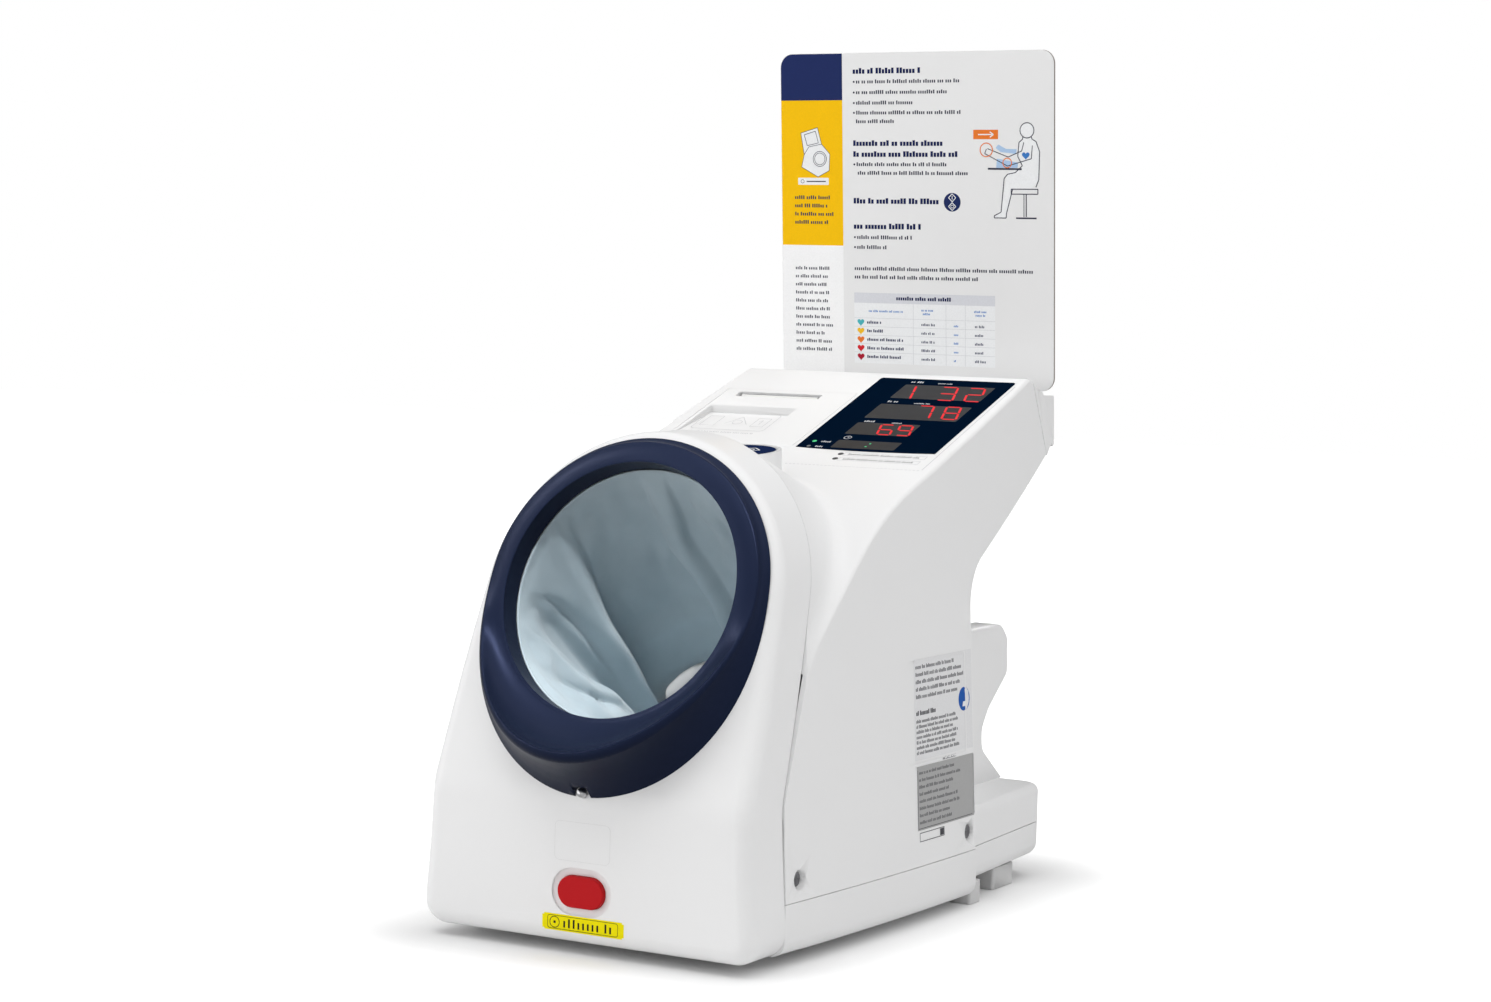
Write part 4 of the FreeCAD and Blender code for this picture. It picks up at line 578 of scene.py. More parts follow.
def display_prints():
    pane_grey = printed("pane_grey", (0.030, 0.030, 0.032), 0.45)
    panes = Print("display_panes", PANEL, pane_grey, "root", "window_navy", WINDOW_TOP)
    for x0, x1, s0, s1 in PANES:
        panes.round_box(x0, x1, s0, s1, PANE_CORNER)
    panes.done()
    top = WINDOW_TOP + PRINT_T
    red = printed("lit_red", (0.50, 0.012, 0.016), 0.5, 0.8)
    figures = Print("display_figures", PANEL, red, "root", "lamp", top)
    for text, x, pitch, s, width, height in READINGS:
        for i, figure in enumerate(text):
            digit(figures, figure, x + i * pitch, s, width, height)
    figures.done()
    lit_green = printed("lit_green", (0.05, 0.42, 0.16), 0.35, 0.7)
    green = Print("display_green", PANEL, lit_green, "root", "lamp", top)
    for spot in LIT:
        green.disc(*spot)
    green.done()
    unlit_grey = printed("unlit_grey", (0.16, 0.17, 0.18), 0.4)
    unlit = Print("display_unlit", PANEL, unlit_grey, "root", "lamp", top)
    unlit.disc(*UNLIT)
    unlit.done()


# ---------------------------------------------------------------- information board
BOARD_FACE = 1.0
INK = {
    "deep": (0.012, 0.024, 0.110), "yellow": (0.96, 0.545, 0.0005),
    "text": (0.040, 0.042, 0.070), "head": (0.010, 0.017, 0.080), "white": (0.88, 0.89, 0.9),
    "grey": (0.60, 0.61, 0.63), "band": (0.70, 0.71, 0.75), "blue": (0.05, 0.20, 0.55),
    "orange": (0.83, 0.20, 0.03), "teal": (0.07, 0.45, 0.50), "gold": (0.90, 0.52, 0.02),
    "red": (0.65, 0.02, 0.03), "dark_red": (0.40, 0.01, 0.03), "sky": (0.42, 0.58, 0.80),
    "column": (0.97, 0.97, 0.975),
}


def board_print(name, ink, layer=0):
    material = bpy.data.materials.get("ink_" + ink) or printed("ink_" + ink, INK[ink], 0.45)
    return Print(name, BOARD, material, "root", "board_white", BOARD_FACE + layer * PRINT_T)


def board_box(name, ink, *edges):
    block = board_print(name, ink)
    block.box(*edges)
    block.done()


def rounded_corner_block(plate, x0, x1, y0, y1, radius):
    """Rectangle whose upper left corner follows the corner of the board."""
    points = [(x0, y0), (x1, y0), (x1, y1)]
    for i in range(9):
        turn = math.radians(90 + 90 * i / 8)
        points.append((x0 + radius + radius * math.cos(turn), y1 - radius + radius * math.sin(turn)))
    plate.shape(points)


HEADINGS = [                          # height and right end of each line
    (203.3, 5.0), (155.8, 24.0), (148.6, 33.0), (117.7, 18.8), (100.9, 5.3),
]
BULLETS = [
    (196.9, 33.3), (189.9, 24.0), (183.0, -0.3), (176.5, 34.6), (142.5, 23.4), (94.2, -1.6), (87.6, -21.0),
]
MORE_LINES = [                        # height, left end and right end
    (170.8, -43.0, -12.0), (136.8, -42.0, 39.0), (73.4, -44.8, 86.8), (67.8, -44.8, 45.9),
]
COLUMN_LEFT = -99.3                   # left edge of the coloured column
COLUMN_EDGE = -53.2                   # right edge of the coloured column
COLUMN_TOP = 216.7
COLUMN_BAND = 186.0                   # lower edge of its blue part
COLUMN_FOOT = 89.5                    # lower edge of its yellow part
COLUMN_END = 1.0
BOARD_CORNER = 8.8
NOTE_LEFT = -89.5                     # left end of the small print in the column
TEXT_LEFT = -45.2
TABLE = (-45.3, 58.0, 11.3, 58.4)     # left, right, foot and top
TABLE_HEAD = 51.6                     # foot of the table's heading band
TABLE_PITCH = 5.75
RULE_W = 0.2
TABLE_ROWS = [38.7 - TABLE_PITCH * i for i in range(5)]
TABLE_NOTES = [                       # left end, right end and height
    (-34.5, -8.0, 45.6), (4.6, 13.4, 46.9), (5.6, 12.4, 44.5), (43.0, 52.0, 46.9), (44.0, 51.0, 44.5),
]
CELL_ENDS = (-25.0, -23.0, -8.0, -8.0, -10.0)
HEART_INKS = ("teal", "gold", "orange", "red", "dark_red")


def board_prints():
    rng = random.Random(7)
    block = board_print("board_block_blue", "deep")
    rounded_corner_block(block, COLUMN_LEFT, COLUMN_EDGE, COLUMN_BAND, COLUMN_TOP, BOARD_CORNER)
    block.done()
    board_box("board_block_yellow", "yellow", COLUMN_LEFT, COLUMN_EDGE, COLUMN_FOOT, COLUMN_BAND)
    board_box("board_block_white", "column", COLUMN_LEFT, COLUMN_EDGE, COLUMN_END, COLUMN_FOOT)
    heads = board_print("board_headings", "head")
    for s, end in HEADINGS:
        heads.words(TEXT_LEFT, end, s, 3.7, rng, 0.78)
    heads.done()
    text = board_print("board_small_print", "text")
    for s, end in BULLETS:
        text.disc(TEXT_LEFT + 0.7, s + 1.1, 0.7, 10)
        text.words(TEXT_LEFT + 2.4, end, s, 2.5, rng, 0.62)
    for s, start, end in MORE_LINES:
        text.words(start, end, s, 2.5, rng, 0.62)
    text.done()
    notes = board_print("board_note_print", "text", 1)
    for i in range(11):
        notes.words(NOTE_LEFT, rng.uniform(-68.0, -61.0), 73.1 - 5.45 * i, 2.2, rng, 0.6)
    for i, end in enumerate((-62.5, -64.5, -60.0, -64.0)):
        notes.words(NOTE_LEFT, end, 120.3 - 5.5 * i, 2.5, rng, 0.62)
    notes.done()
    board_table(rng)
    board_pictures()


def board_table(rng):
    left, right, low, high = TABLE
    board_box("board_table_sheet", "white", left, right, low, TABLE_HEAD)
    board_box("board_table_band", "band", left, right, TABLE_HEAD, high)
    lines = board_print("board_table_lines", "grey", 1)
    first = ((left + right) / 2, TABLE_ROWS[-1] + TABLE_PITCH / 2)
    dash_row("board_table_rules", BOARD, first, len(TABLE_ROWS), (0.0, TABLE_PITCH), (right - left, RULE_W),
             lines.material, BOARD_FACE + PRINT_T)
    for x in (-1.6, 22.4, 36.4):
        lines.box(x, x + RULE_W, low, TABLE_HEAD)
    lines.done()
    heads = board_print("board_table_heads", "head", 1)
    heads.words(-14.0, 27.0, TABLE_HEAD + 2.3, 2.6, rng, 0.74)
    heads.done()
    notes = board_print("board_table_notes", "blue", 1)
    for x0, x1, s in TABLE_NOTES:
        notes.words(x0, x1, s, 1.5, rng, 0.6)
    for s in TABLE_ROWS:
        notes.words(28.2, 31.4, s - 1.6, 1.4, rng, 0.6)
    notes.done()
    cells = board_print("board_table_cells", "head", 1)
    for end, s in zip(CELL_ENDS, TABLE_ROWS):
        cells.words(-35.8, end, s - 0.9, 2.0, rng, 0.68)
        cells.words(4.5, 14.5, s - 1.4, 1.7, rng, 0.6)
        cells.words(43.5, 51.5, s - 1.7, 1.7, rng, 0.6)
    cells.done()
    for ink, s in zip(HEART_INKS, TABLE_ROWS):
        mark = board_print("board_heart_" + ink, ink, 1)
        mark.heart(-40.5, s, 5.2)
        mark.done()


def board_pictures():
    """Plain pictograms of a seated user, of the key and of the monitor."""
    badge = board_print("board_key_badge", "deep")
    badge.disc(27.3, 119.1, 6.1)
    badge.done()
    marks = board_print("board_key_marks", "white", 1)
    for s in (122.0, 116.3):
        marks.loop([(27.3, s + 2.6), (29.9, s), (27.3, s - 2.6), (24.7, s)], 0.5)
    marks.stroke([(27.3, 120.9), (27.3, 123.1)], 0.5)
    marks.ring(27.3, 116.3, 1.0, 0.4, 14)
    marks.done()
    body = board_print("board_user_fill", "white")
    body.disc(80.7, 165.7, 4.9)
    body.shape([(78.5, 161.5), (75.1, 158.0), (74.2, 149.0), (77.5, 143.0), (67.0, 138.0), (62.0, 113.5),
                (57.5, 110.5), (57.5, 109.2), (66.0, 109.2), (70.5, 127.8), (84.5, 128.8), (89.0, 134.0),
                (89.6, 152.0), (87.1, 158.5), (83.5, 161.5)])
    body.done()
    user_lines()
    pale = board_print("board_user_cradle", "sky")
    pale.shape([(59.0, 141.6), (74.0, 141.6), (74.5, 145.0), (59.5, 147.6)])
    pale.shape([(58.5, 154.6), (62.0, 151.8), (73.0, 150.6), (73.5, 153.6), (66.0, 153.8), (60.5, 156.6)])
    pale.done()
    mark = board_print("board_user_heart", "blue", 2)
    mark.heart(79.9, 149.6, 5.4)
    mark.done()
    board_box("board_orange_tag", "orange", 42.6, 60.3, 160.1, 166.2)
    rings = board_print("board_orange_rings", "orange", 2)
    rings.ring(51.9, 153.2, 4.4, 0.6, 30)
    rings.ring(66.8, 144.8, 3.1, 0.6, 24)
    rings.done()
    tag_mark = board_print("board_tag_mark", "white", 1)
    tag_mark.stroke([(46.0, 163.1), (57.0, 163.1)], 0.7)
    tag_mark.stroke([(54.5, 164.8), (57.0, 163.1), (54.5, 161.4)], 0.7)
    tag_mark.done()
    small_monitor()


def user_lines():
    lines = board_print("board_user_lines", "text", 1)
    lines.ring(80.7, 165.7, 4.9, 0.6, 28)
    front = [(77.9, 161.6), (77.6, 160.0), (75.1, 158.0), (74.2, 149.0), (77.5, 143.0), (72.5, 138.6),
             (67.0, 137.5), (64.6, 134.8), (62.4, 113.0), (57.6, 110.6), (57.5, 109.2), (66.0, 109.2),
             (66.2, 112.0), (70.5, 127.6)]
    back = [(83.6, 161.6), (84.4, 160.0), (87.1, 158.5), (89.6, 152.0), (89.0, 134.0), (87.0, 129.2)]
    lines.stroke(front, 0.6)
    lines.stroke(back, 0.6)
    lines.stroke([(78.5, 158.0), (77.0, 152.5), (67.4, 148.6), (52.8, 154.0)], 0.55)
    lines.stroke([(84.5, 156.0), (83.8, 147.5), (67.0, 142.8), (50.8, 150.8), (52.0, 153.8)], 0.55)
    lines.frame_box(69.6, 88.4, 127.9, 124.7, 0.6)
    lines.stroke([(80.2, 124.7), (80.2, 110.0)], 0.7)
    lines.stroke([(78.6, 124.7), (78.6, 110.0)], 0.5)
    lines.stroke([(73.0, 109.2), (87.5, 109.2)], 1.0)
    lines.stroke([(53.0, 141.0), (77.0, 140.8)], 1.2)
    lines.done()


def small_monitor():
    """Small line picture of the monitor itself in the column, with a bare label under it."""
    outline = [(-84.6, 164.4), (-72.0, 168.0), (-69.0, 157.0), (-62.8, 150.4), (-63.4, 139.4), (-71.8, 135.2),
               (-84.2, 141.8), (-82.2, 150.0)]
    fill = board_print("board_monitor_fill", "white", 1)
    fill.shape(outline)
    fill.round_box(-87.0, -63.8, 129.9, 134.6, 0.6)
    fill.done()
    lines = board_print("board_monitor_lines", "text", 2)
    lines.ring(-70.4, 147.2, 5.0, 0.4, 28)
    lines.ring(-70.4, 147.2, 3.9, 0.35, 28)
    lines.loop(outline, 0.35)
    lines.loop([(-82.0, 163.2), (-73.6, 165.6), (-71.4, 157.8), (-79.8, 156.0)], 0.4)
    lines.stroke([(-82.2, 150.0), (-78.6, 155.2), (-69.0, 157.0)], 0.35)
    lines.ring(-83.6, 132.2, 1.2, 0.3, 14)
    lines.stroke([(-80.5, 132.2), (-66.0, 132.2)], 0.7)
    lines.done()


# ---------------------------------------------------------------- labels and key marks
def wall_of(node):
    """Search tree of a finished moulding, for prints that follow its curve."""
    mesh = finished[node].data
    return BVHTree.FromPolygons([v.co for v in mesh.vertices], [list(p.vertices) for p in mesh.polygons])


def wall_print(name, place, tone, wall, layer=0, gloss=0.45):
    material = bpy.data.materials.get("ink_" + name) or printed("ink_" + name, tone, gloss)
    return Print(name, place, material, "root", "board_white", WALL_LIFT + layer * PRINT_T, onto=wall)


FRONT_LABEL = (-25.2, 28.2, 12.9, 22.3)      # left, right, foot and top
LABEL_TAB = (1.2, 0.9)                       # width and drop of the narrower ends, which round it off
NAME_PLACE = (-18.0, 18.0, 53.0, 75.0, 3.0)  # left, right, foot, top and corner


def front_label():
    """Yellow label under the stop key, and the faint outline of a bare name place above the key."""
    wall = wall_of("front_cover")
    left, right, low, high = FRONT_LABEL
    tab, drop = LABEL_TAB
    film = wall_print("front_label_film", FRONT, (0.90, 0.79, 0.0), wall)
    film.sheet(left + tab, right - tab, low, high)
    film.sheet(left, left + tab, low + drop, high - drop)
    film.sheet(right - tab, right, low + drop, high - drop)
    film.done()
    edge = wall_print("front_label_line", FRONT, (0.02, 0.02, 0.012), wall, 1)
    edge.loop(round_corners(left + 3.6, right - 3.9, low + 1.0, high - 1.0, 1.4), 0.28)
    middle = (low + high) / 2
    edge.ring(left + 8.2, middle, 3.1, 0.42, 28)
    edge.box(left + 7.5, left + 8.9, middle - 0.7, middle + 0.7)
    edge.words(left + 14.0, right - 5.4, middle - 2.5, 5.0, random.Random(2), 0.38)
    edge.done()
    place = wall_print("front_name_place", FRONT, (0.80, 0.80, 0.80), wall, gloss=0.25)
    place.loop(round_corners(*NAME_PLACE), 0.22)
    place.done()


def side_labels():
    """Clear film with rows of small print, metal-grey plate and small tag low on the right side."""
    rng = random.Random(11)
    wall = wall_of("housing")
    film = wall_print("side_film", SIDE, (0.80, 0.80, 0.81), wall, gloss=0.3)
    film.sheet(-8.5, 67.0, 98.5, 158.5)
    film.done()
    plate = wall_print("side_plate", SIDE, (0.42, 0.42, 0.42), wall, gloss=0.35)
    plate.sheet(-6.7, 69.0, 57.0, 95.0)
    plate.done()
    ink = wall_print("side_print", SIDE, (0.07, 0.07, 0.08), wall, 1)
    for i in range(5):
        ink.words(-6.3, (44.0, 54.0, 58.0, 53.0, 48.0)[i], 152.5 - 4.4 * i, 2.3, rng, 0.6)
    ink.words(-6.3, 20.0, 125.0, 2.8, rng, 0.78)
    for i in range(7):
        ink.words(-6.3, 46.0 + 3.0 * math.sin(2.4 * i), 120.5 - 3.1 * i, 2.0, rng, 0.6)
    ink.words(26.0, 44.0, 95.6, 1.6, rng)
    for i in range(8):
        ink.words(-4.0, 42.0 + 8.0 * math.sin(1.7 * i), 90.0 - 4.2 * i, 2.0, rng)
    ink.frame_box(-5.7, 68.0, 58.0, 94.0, 0.35)
    ink.frame_box(-5.0, 26.0, 50.5, 55.5, 0.4)
    ink.box(20.5, 25.5, 51.0, 55.0)
    ink.done()
    spot = wall_print("side_blue_spot", SIDE, (0.015, 0.10, 0.42), wall, 1)
    spot.disc(56.5, 129.0, 7.2)
    spot.done()
    mark = wall_print("side_spot_mark", SIDE, (0.85, 0.86, 0.88), wall, 2)
    mark.box(54.5, 58.5, 124.5, 127.5)
    mark.box(55.5, 57.5, 127.5, 133.0)
    mark.done()


WINDOW_WORDS = [                      # left end, right end, foot and height of each line of small print
    (25.8, 34.5, 226.0, 2.6), (45.3, 55.4, 225.4, 1.7), (25.8, 33.6, 190.6, 2.6), (45.0, 55.9, 189.4, 1.7),
    (26.3, 34.3, 155.6, 2.4), (45.9, 53.3, 155.0, 1.6), (14.3, 21.4, 119.2, 2.2), (14.2, 21.3, 111.0, 2.2),
]


def panel_prints():
    """Clear film round the display with small print, and pale line pictures on the printer lid."""
    rng = random.Random(5)
    film_edge = printed("film_edge", (0.62, 0.62, 0.64), 0.4)
    lines = Print("panel_film_edge", PANEL, film_edge, "root", "board_white", PANEL_LIFT)
    lines.stroke([(100.0, 84.0), (99.0, 226.0)], 0.5)
    lines.frame_box(39.0, 94.0, 100.2, 105.0, 0.35)
    lines.frame_box(39.0, 93.0, 92.4, 97.2, 0.35)
    lines.done()
    dash_row("panel_film_dashes", PANEL, (8.8, 83.2), 34, (2.7, 0.0), (1.6, 0.4), film_edge, PANEL_LIFT)
    panel_ink = printed("panel_ink", (0.16, 0.16, 0.17), 0.45)
    ink = Print("panel_print", PANEL, panel_ink, "root", "board_white", PANEL_LIFT)
    ink.words(42.0, 91.0, 101.5, 2.3, rng)
    ink.words(42.0, 90.0, 93.7, 2.3, rng)
    ink.disc(36.5, 102.5, 1.5, 18)
    ink.disc(36.5, 94.8, 1.5, 18)
    ink.done()
    window_ink = printed("window_ink", (0.66, 0.67, 0.70), 0.45)
    white = Print("window_print", PANEL, window_ink, "root", "board_white", WINDOW_TOP)
    for x0, x1, s, high in WINDOW_WORDS:
        white.words(x0, x1, s, high, rng, 0.6)
    white.ring(28.4, 128.6, 2.4, 0.45, 24)
    white.stroke([(28.4, 130.2), (28.4, 128.6), (29.6, 128.6)], 0.4)
    white.done()


def lid_pictures():
    """Faint line pictures in the lid's recess, with two rows of small print under them."""
    lid_ink = printed("lid_ink", (0.60, 0.60, 0.61), 0.5)
    pale = Print("lid_pictures", PANEL, lid_ink, "printer_lid", "board_white", LID_RECESS)
    pale.stroke(round_corners(-88.0, -35.0, 134.0, 162.0, 3.0) + [(-35.0, 159.0)], 0.45)
    pale.frame_box(-84.0, -74.0, 140.0, 156.0, 0.4)
    pale.stroke([(-68.0, 144.0), (-60.0, 156.0), (-52.0, 144.0)], 0.45)
    pale.ring(-60.0, 147.0, 3.2, 0.4, 24)
    pale.frame_box(-48.0, -39.0, 141.0, 155.0, 0.4)
    pale.stroke([(-43.5, 145.0), (-43.5, 152.0), (-45.5, 150.0)], 0.4)
    for s in (128.5, 124.0):
        pale.words(-86.0, -37.0, s, 1.9, random.Random(3))
    pale.done()


PAPER_PATH = [                        # distance up the slope and height off it
    (184.6, -4.4), (187.5, -3.42), (191.0, -3.1), (193.6, -2.1), (195.3, -0.9),
]
PAPER_EDGES = (-82.5, -26.5)
PAPER_THICK = 0.00008


def paper_strip():
    """End of the paper, over the platen and up into the slot."""
    work = bmesh.new()
    rows = [[work.verts.new(PANEL @ Vector((x, s, h))) for s, h in PAPER_PATH] for x in PAPER_EDGES]
    for j in range(len(PAPER_PATH) - 1):
        work.faces.new((rows[0][j], rows[1][j], rows[1][j + 1], rows[0][j + 1]))
    mesh = bpy.data.meshes.new("paper_strip")
    work.to_mesh(mesh)
    work.free()
    mesh.materials.append(M["paper"])
    piece = bpy.data.objects.new("paper_strip", mesh)
    scene.collection.objects.link(piece)
    wall = piece.modifiers.new("paper_thickness", "SOLIDIFY")
    wall.thickness = PAPER_THICK
    wall.offset = 1.0
    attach(piece, "printer_lid")


def key_marks():
    """Plain start and stop signs on the round key."""
    white = printed("mark_white", (0.85, 0.86, 0.88), 0.4)
    marks = Print("start_stop_marks", KEY, white, "start_stop_key", "blue_key", WALL_LIFT, 0.05,
                  wall_of("start_stop_button"))
    off, half = 8.0, 6.0
    for x in (-off, off):
        marks.loop([(x - half, 0), (x, half), (x + half, 0), (x, -half)], 0.9)
    marks.stroke([(-off, -2.8), (-off, 2.8)], 0.8)
    marks.ring(off, 0.0, 2.0, 0.8, 24)
    marks.done()


# ---------------------------------------------------------------- cuff cloth
DRUM_R = 80.0
SLEEVE_RINGS = [                      # a, way in from the drum at the sides, at the top and at the bottom
    (-14.6, 5.9, 5.9, 5.9), (-60.0, 12.0, 26.0, 7.5), (-105.0, 22.0, 56.0, 7.5), (-150.0, 31.0, 82.0, 6.5),
    (-194.0, 6.3, 6.3, 6.3),
]
AROUND, ALONG = 288, 96
FOLDS = [                             # crest of each fold: a, turn and half width in degrees, height in mm
    [(-17, 93, 7, 0.0), (-26, 93.5, 7, 2.5), (-45, 94.5, 8, 5.0), (-67, 95, 8, 7.0), (-96, 84, 8, 8.0),
     (-150, 68, 8, 4.0), (-170, 66, 8, 0.0)],
    [(-20, 163, 20, 0.0), (-40, 160, 16, 5.0), (-62, 162, 13, 10.0), (-83, 166.5, 10, 13.0),
     (-105, 170, 10, 14.0), (-128, 175, 10, 12.0), (-150, 182, 9, 8.0), (-172, 188, 9, 0.0)],
    [(-24, 207, 9, 0.0), (-44, 206, 8, 4.0), (-66, 208, 7, 6.0), (-84, 206, 7, 6.0), (-108, 202, 6, 5.0),
     (-130, 199, 6, 3.0), (-150, 198, 6, 0.0)],
    [(-22, 230, 9, 0.0), (-50, 225, 8, 3.0), (-84, 221, 8, 5.0), (-115, 212, 7, 4.0), (-145, 206, 6, 0.0)],
    [(-18, 252, 10, 0.0), (-48, 249, 9, 2.5), (-90, 240, 8, 4.0), (-128, 226, 8, 2.0), (-150, 220, 8, 0.0)],
    [(-30, 283, 12, 0.0), (-70, 274, 10, 2.0), (-115, 262, 9, 3.0), (-150, 250, 9, 0.0)],
    [(-30, 70, 8, 0.0), (-42, 68, 9, 3.0), (-58, 63, 7, 1.5), (-80, 58, 8, 0.0)],
    [(-40, 30, 10, 0.0), (-80, 26, 9, 3.0), (-130, 18, 9, 3.0), (-165, 14, 9, 0.0)],
    [(-35, 352, 10, 0.0), (-75, 350, 10, 2.5), (-125, 345, 9, 3.0), (-160, 342, 9, 0.0)],
    [(-40, 318, 10, 0.0), (-90, 312, 9, 2.5), (-140, 305, 9, 2.0), (-165, 302, 9, 0.0)],
]
VALLEY = [(-22, 186, 9, 0.0), (-40, 187, 9, -3.0), (-60, 188, 9, -7.0), (-85, 189, 9, -9.0),
          (-110, 190, 8, -7.0), (-140, 192, 8, 0.0)]
CREST_POWER, VALLEY_POWER = 0.62, 1.5 # how round a fold's crest is, and how narrow the valley's floor
CLOTH_THICK = 0.0006
CLOTH_FRAMES = 12
CLOTH_SETTINGS = {
    "quality": 6, "mass": 0.05, "tension_stiffness": 40, "compression_stiffness": 40, "shear_stiffness": 20,
    "bending_stiffness": 20, "vertex_group_mass": "held_ends",
}
CLOTH_GRAVITY = 0.1


def eased(rows, value):
    """Row of numbers at a place along a list of rows, on a smooth curve through them."""
    spots = [row[0] for row in rows]
    if value >= spots[0]:
        return rows[0][1:]
    if value <= spots[-1]:
        return rows[-1][1:]
    i = next(k for k in range(len(rows) - 1) if spots[k] >= value >= spots[k + 1])
    before, after = rows[max(i - 1, 0)], rows[min(i + 2, len(rows) - 1)]
    span = spots[i + 1] - spots[i]
    t = (value - spots[i]) / span
    out = []
    for k in range(1, len(rows[0])):
        start, end = rows[i][k], rows[i + 1][k]
        lead = (end - before[k]) / (spots[i + 1] - before[0]) * span
        trail = (after[k] - start) / (after[0] - spots[i]) * span
        out.append((2 * t**3 - 3 * t**2 + 1) * start + (t**3 - 2 * t**2 + t) * lead
                   + (3 * t**2 - 2 * t**3) * end + (t**3 - t**2) * trail)
    return out


def fold_height(rows, a, turn, power):
    if not rows[-1][0] < a < rows[0][0]:
        return 0.0
    crest, half, height = eased(rows, a)
    off = (math.degrees(turn) - crest + 180.0) % 360.0 - 180.0
    return height * max(0.0, 1.0 - (off / half) ** 2) ** power


def sleeve_point(a, turn):
    """Point of the slack sleeve: an oval that hangs from the top, with rolls and creases laid on it."""
    degrees = math.degrees(turn)
    side, top, bottom = eased(SLEEVE_RINGS, a)
    half_w = DRUM_R - side
    half_h = DRUM_R - (top + bottom) / 2
    middle = (bottom - top) / 2
    inward = sum(fold_height(rows, a, turn, CREST_POWER) for rows in FOLDS)
    inward += fold_height(VALLEY, a, turn, VALLEY_POWER)
    held = smooth_step(-14.6, -34.0, a) * smooth_step(-194.0, -172.0, a)
    kink = 3.5 * math.exp(-((a + 113.0 + 0.09 * (degrees - 118.0)) / 7.0) ** 2)
    inward += kink * smooth_step(62.0, 90.0, degrees) * smooth_step(156.0, 140.0, degrees)
    spot = Vector((math.cos(turn), math.sin(turn), a * 0.012))
    low = smooth_step(175.0, 225.0, degrees) * smooth_step(330.0, 280.0, degrees)
    inward += held * (0.9 + 1.5 * low) * noise.noise(spot * 2.6 + Vector((3.0, 1.0, 0.0)))
    inward += held * (0.35 + 1.1 * low) * noise.noise(spot * 5.4 + Vector((0.0, 7.0, 2.0)))
    x, v = half_w * math.cos(turn), middle + half_h * math.sin(turn)
    out = Vector((math.cos(turn) / half_w, math.sin(turn) / half_h)).normalized()
    x, v = x - out.x * inward, v - out.y * inward
    reach = math.hypot(x, v)
    if reach > DRUM_FREE_R:
        x, v = x * DRUM_FREE_R / reach, v * DRUM_FREE_R / reach
    return x, v, a


def smooth_step(low, high, value):
    t = min(1.0, max(0.0, (value - low) / (high - low)))
    return t * t * (3 - 2 * t)


def sleeve_mesh():
    """Quilt of quads from the collar to the back of the drum, with its weave laid out in a UV map."""
    work = bmesh.new()
    uv = work.loops.layers.uv.new("weave")
    front, rear = SLEEVE_RINGS[0][0], SLEEVE_RINGS[-1][0]
    turns = [2 * math.pi * i / AROUND for i in range(AROUND)]
    places = [front + (rear - front) * j / ALONG for j in range(ALONG + 1)]
    rings = [[work.verts.new(TUNNEL @ Vector(sleeve_point(a, turn))) for turn in turns] for a in places]
    for j in range(ALONG):
        for i in range(AROUND):
            k = (i + 1) % AROUND
            face = work.faces.new((rings[j][i], rings[j + 1][i], rings[j + 1][k], rings[j][k]))
            face.smooth = True
            for loop, (u, v) in zip(face.loops, ((i, j), (i, j + 1), (i + 1, j + 1), (i + 1, j))):
                loop[uv].uv = (u / AROUND, v / ALONG)
    mesh = bpy.data.meshes.new("cuff_sleeve")
    work.to_mesh(mesh)
    work.free()
    return mesh


def cuff_sleeve():
    mesh = sleeve_mesh()
    mesh.materials.append(M["cloth"])
    piece = bpy.data.objects.new("cuff_sleeve", mesh)
    scene.collection.objects.link(piece)
    slacken(piece)
    hem = piece.modifiers.new("cloth_thickness", "SOLIDIFY")
    hem.thickness = CLOTH_THICK
    hem.offset = 1.0
    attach(piece, "root")
    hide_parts("cuff_cloth")


def slacken(piece):
    """Short cloth run at a share of gravity that softens the folds laid on the held sleeve."""
    ends = piece.vertex_groups.new(name="held_ends")
    for i in range(AROUND):
        ends.add([i], 1.0, "REPLACE")
        ends.add([ALONG * AROUND + i], 1.0, "REPLACE")
    cloth = piece.modifiers.new("slack", "CLOTH")
    for key, value in CLOTH_SETTINGS.items():
        setattr(cloth.settings, key, value)
    cloth.settings.effector_weights.gravity = CLOTH_GRAVITY
    cloth.collision_settings.use_collision = False
    cloth.point_cache.frame_end = CLOTH_FRAMES
    for number in range(1, CLOTH_FRAMES):
        scene.frame_set(number)
    settled = bpy.data.meshes.new_from_object(piece.evaluated_get(bpy.context.evaluated_depsgraph_get()))
    piece.modifiers.clear()
    old = piece.data
    piece.data = settled
    bpy.data.meshes.remove(old)
    scene.frame_set(1)
    keep_in_drum(piece)


def keep_in_drum(piece):
    """Holds the cloth clear of the bladder and of the drum."""
    back = TUNNEL.inverted()
    for vertex in piece.data.vertices:
        spot = back @ vertex.co
        r = math.hypot(spot.x, spot.y)
        if r > DRUM_FREE_R:
            spot.x *= DRUM_FREE_R / r
            spot.y *= DRUM_FREE_R / r
            vertex.co = TUNNEL @ spot


# ---------------------------------------------------------------- floor, light and camera
PAINTED_SHADE_AREA = (0.085, 0.175)            # half sizes of the area of floor that the body shades; the floor's camera-only glow is held back over it, which paints shade there
FLOOR_GLOW = 0.0                      # extra light on the floor at the body, which grows to 1 at GLOW_REACH; kept low near the body, it paints a darker zone of shade round it, beyond the real shadow
GLOW_REACH = 0.20
FLOOR_SIZE = 6.0
FLOOR_DROP = 0.0004                   # keeps the floor just clear of the feet


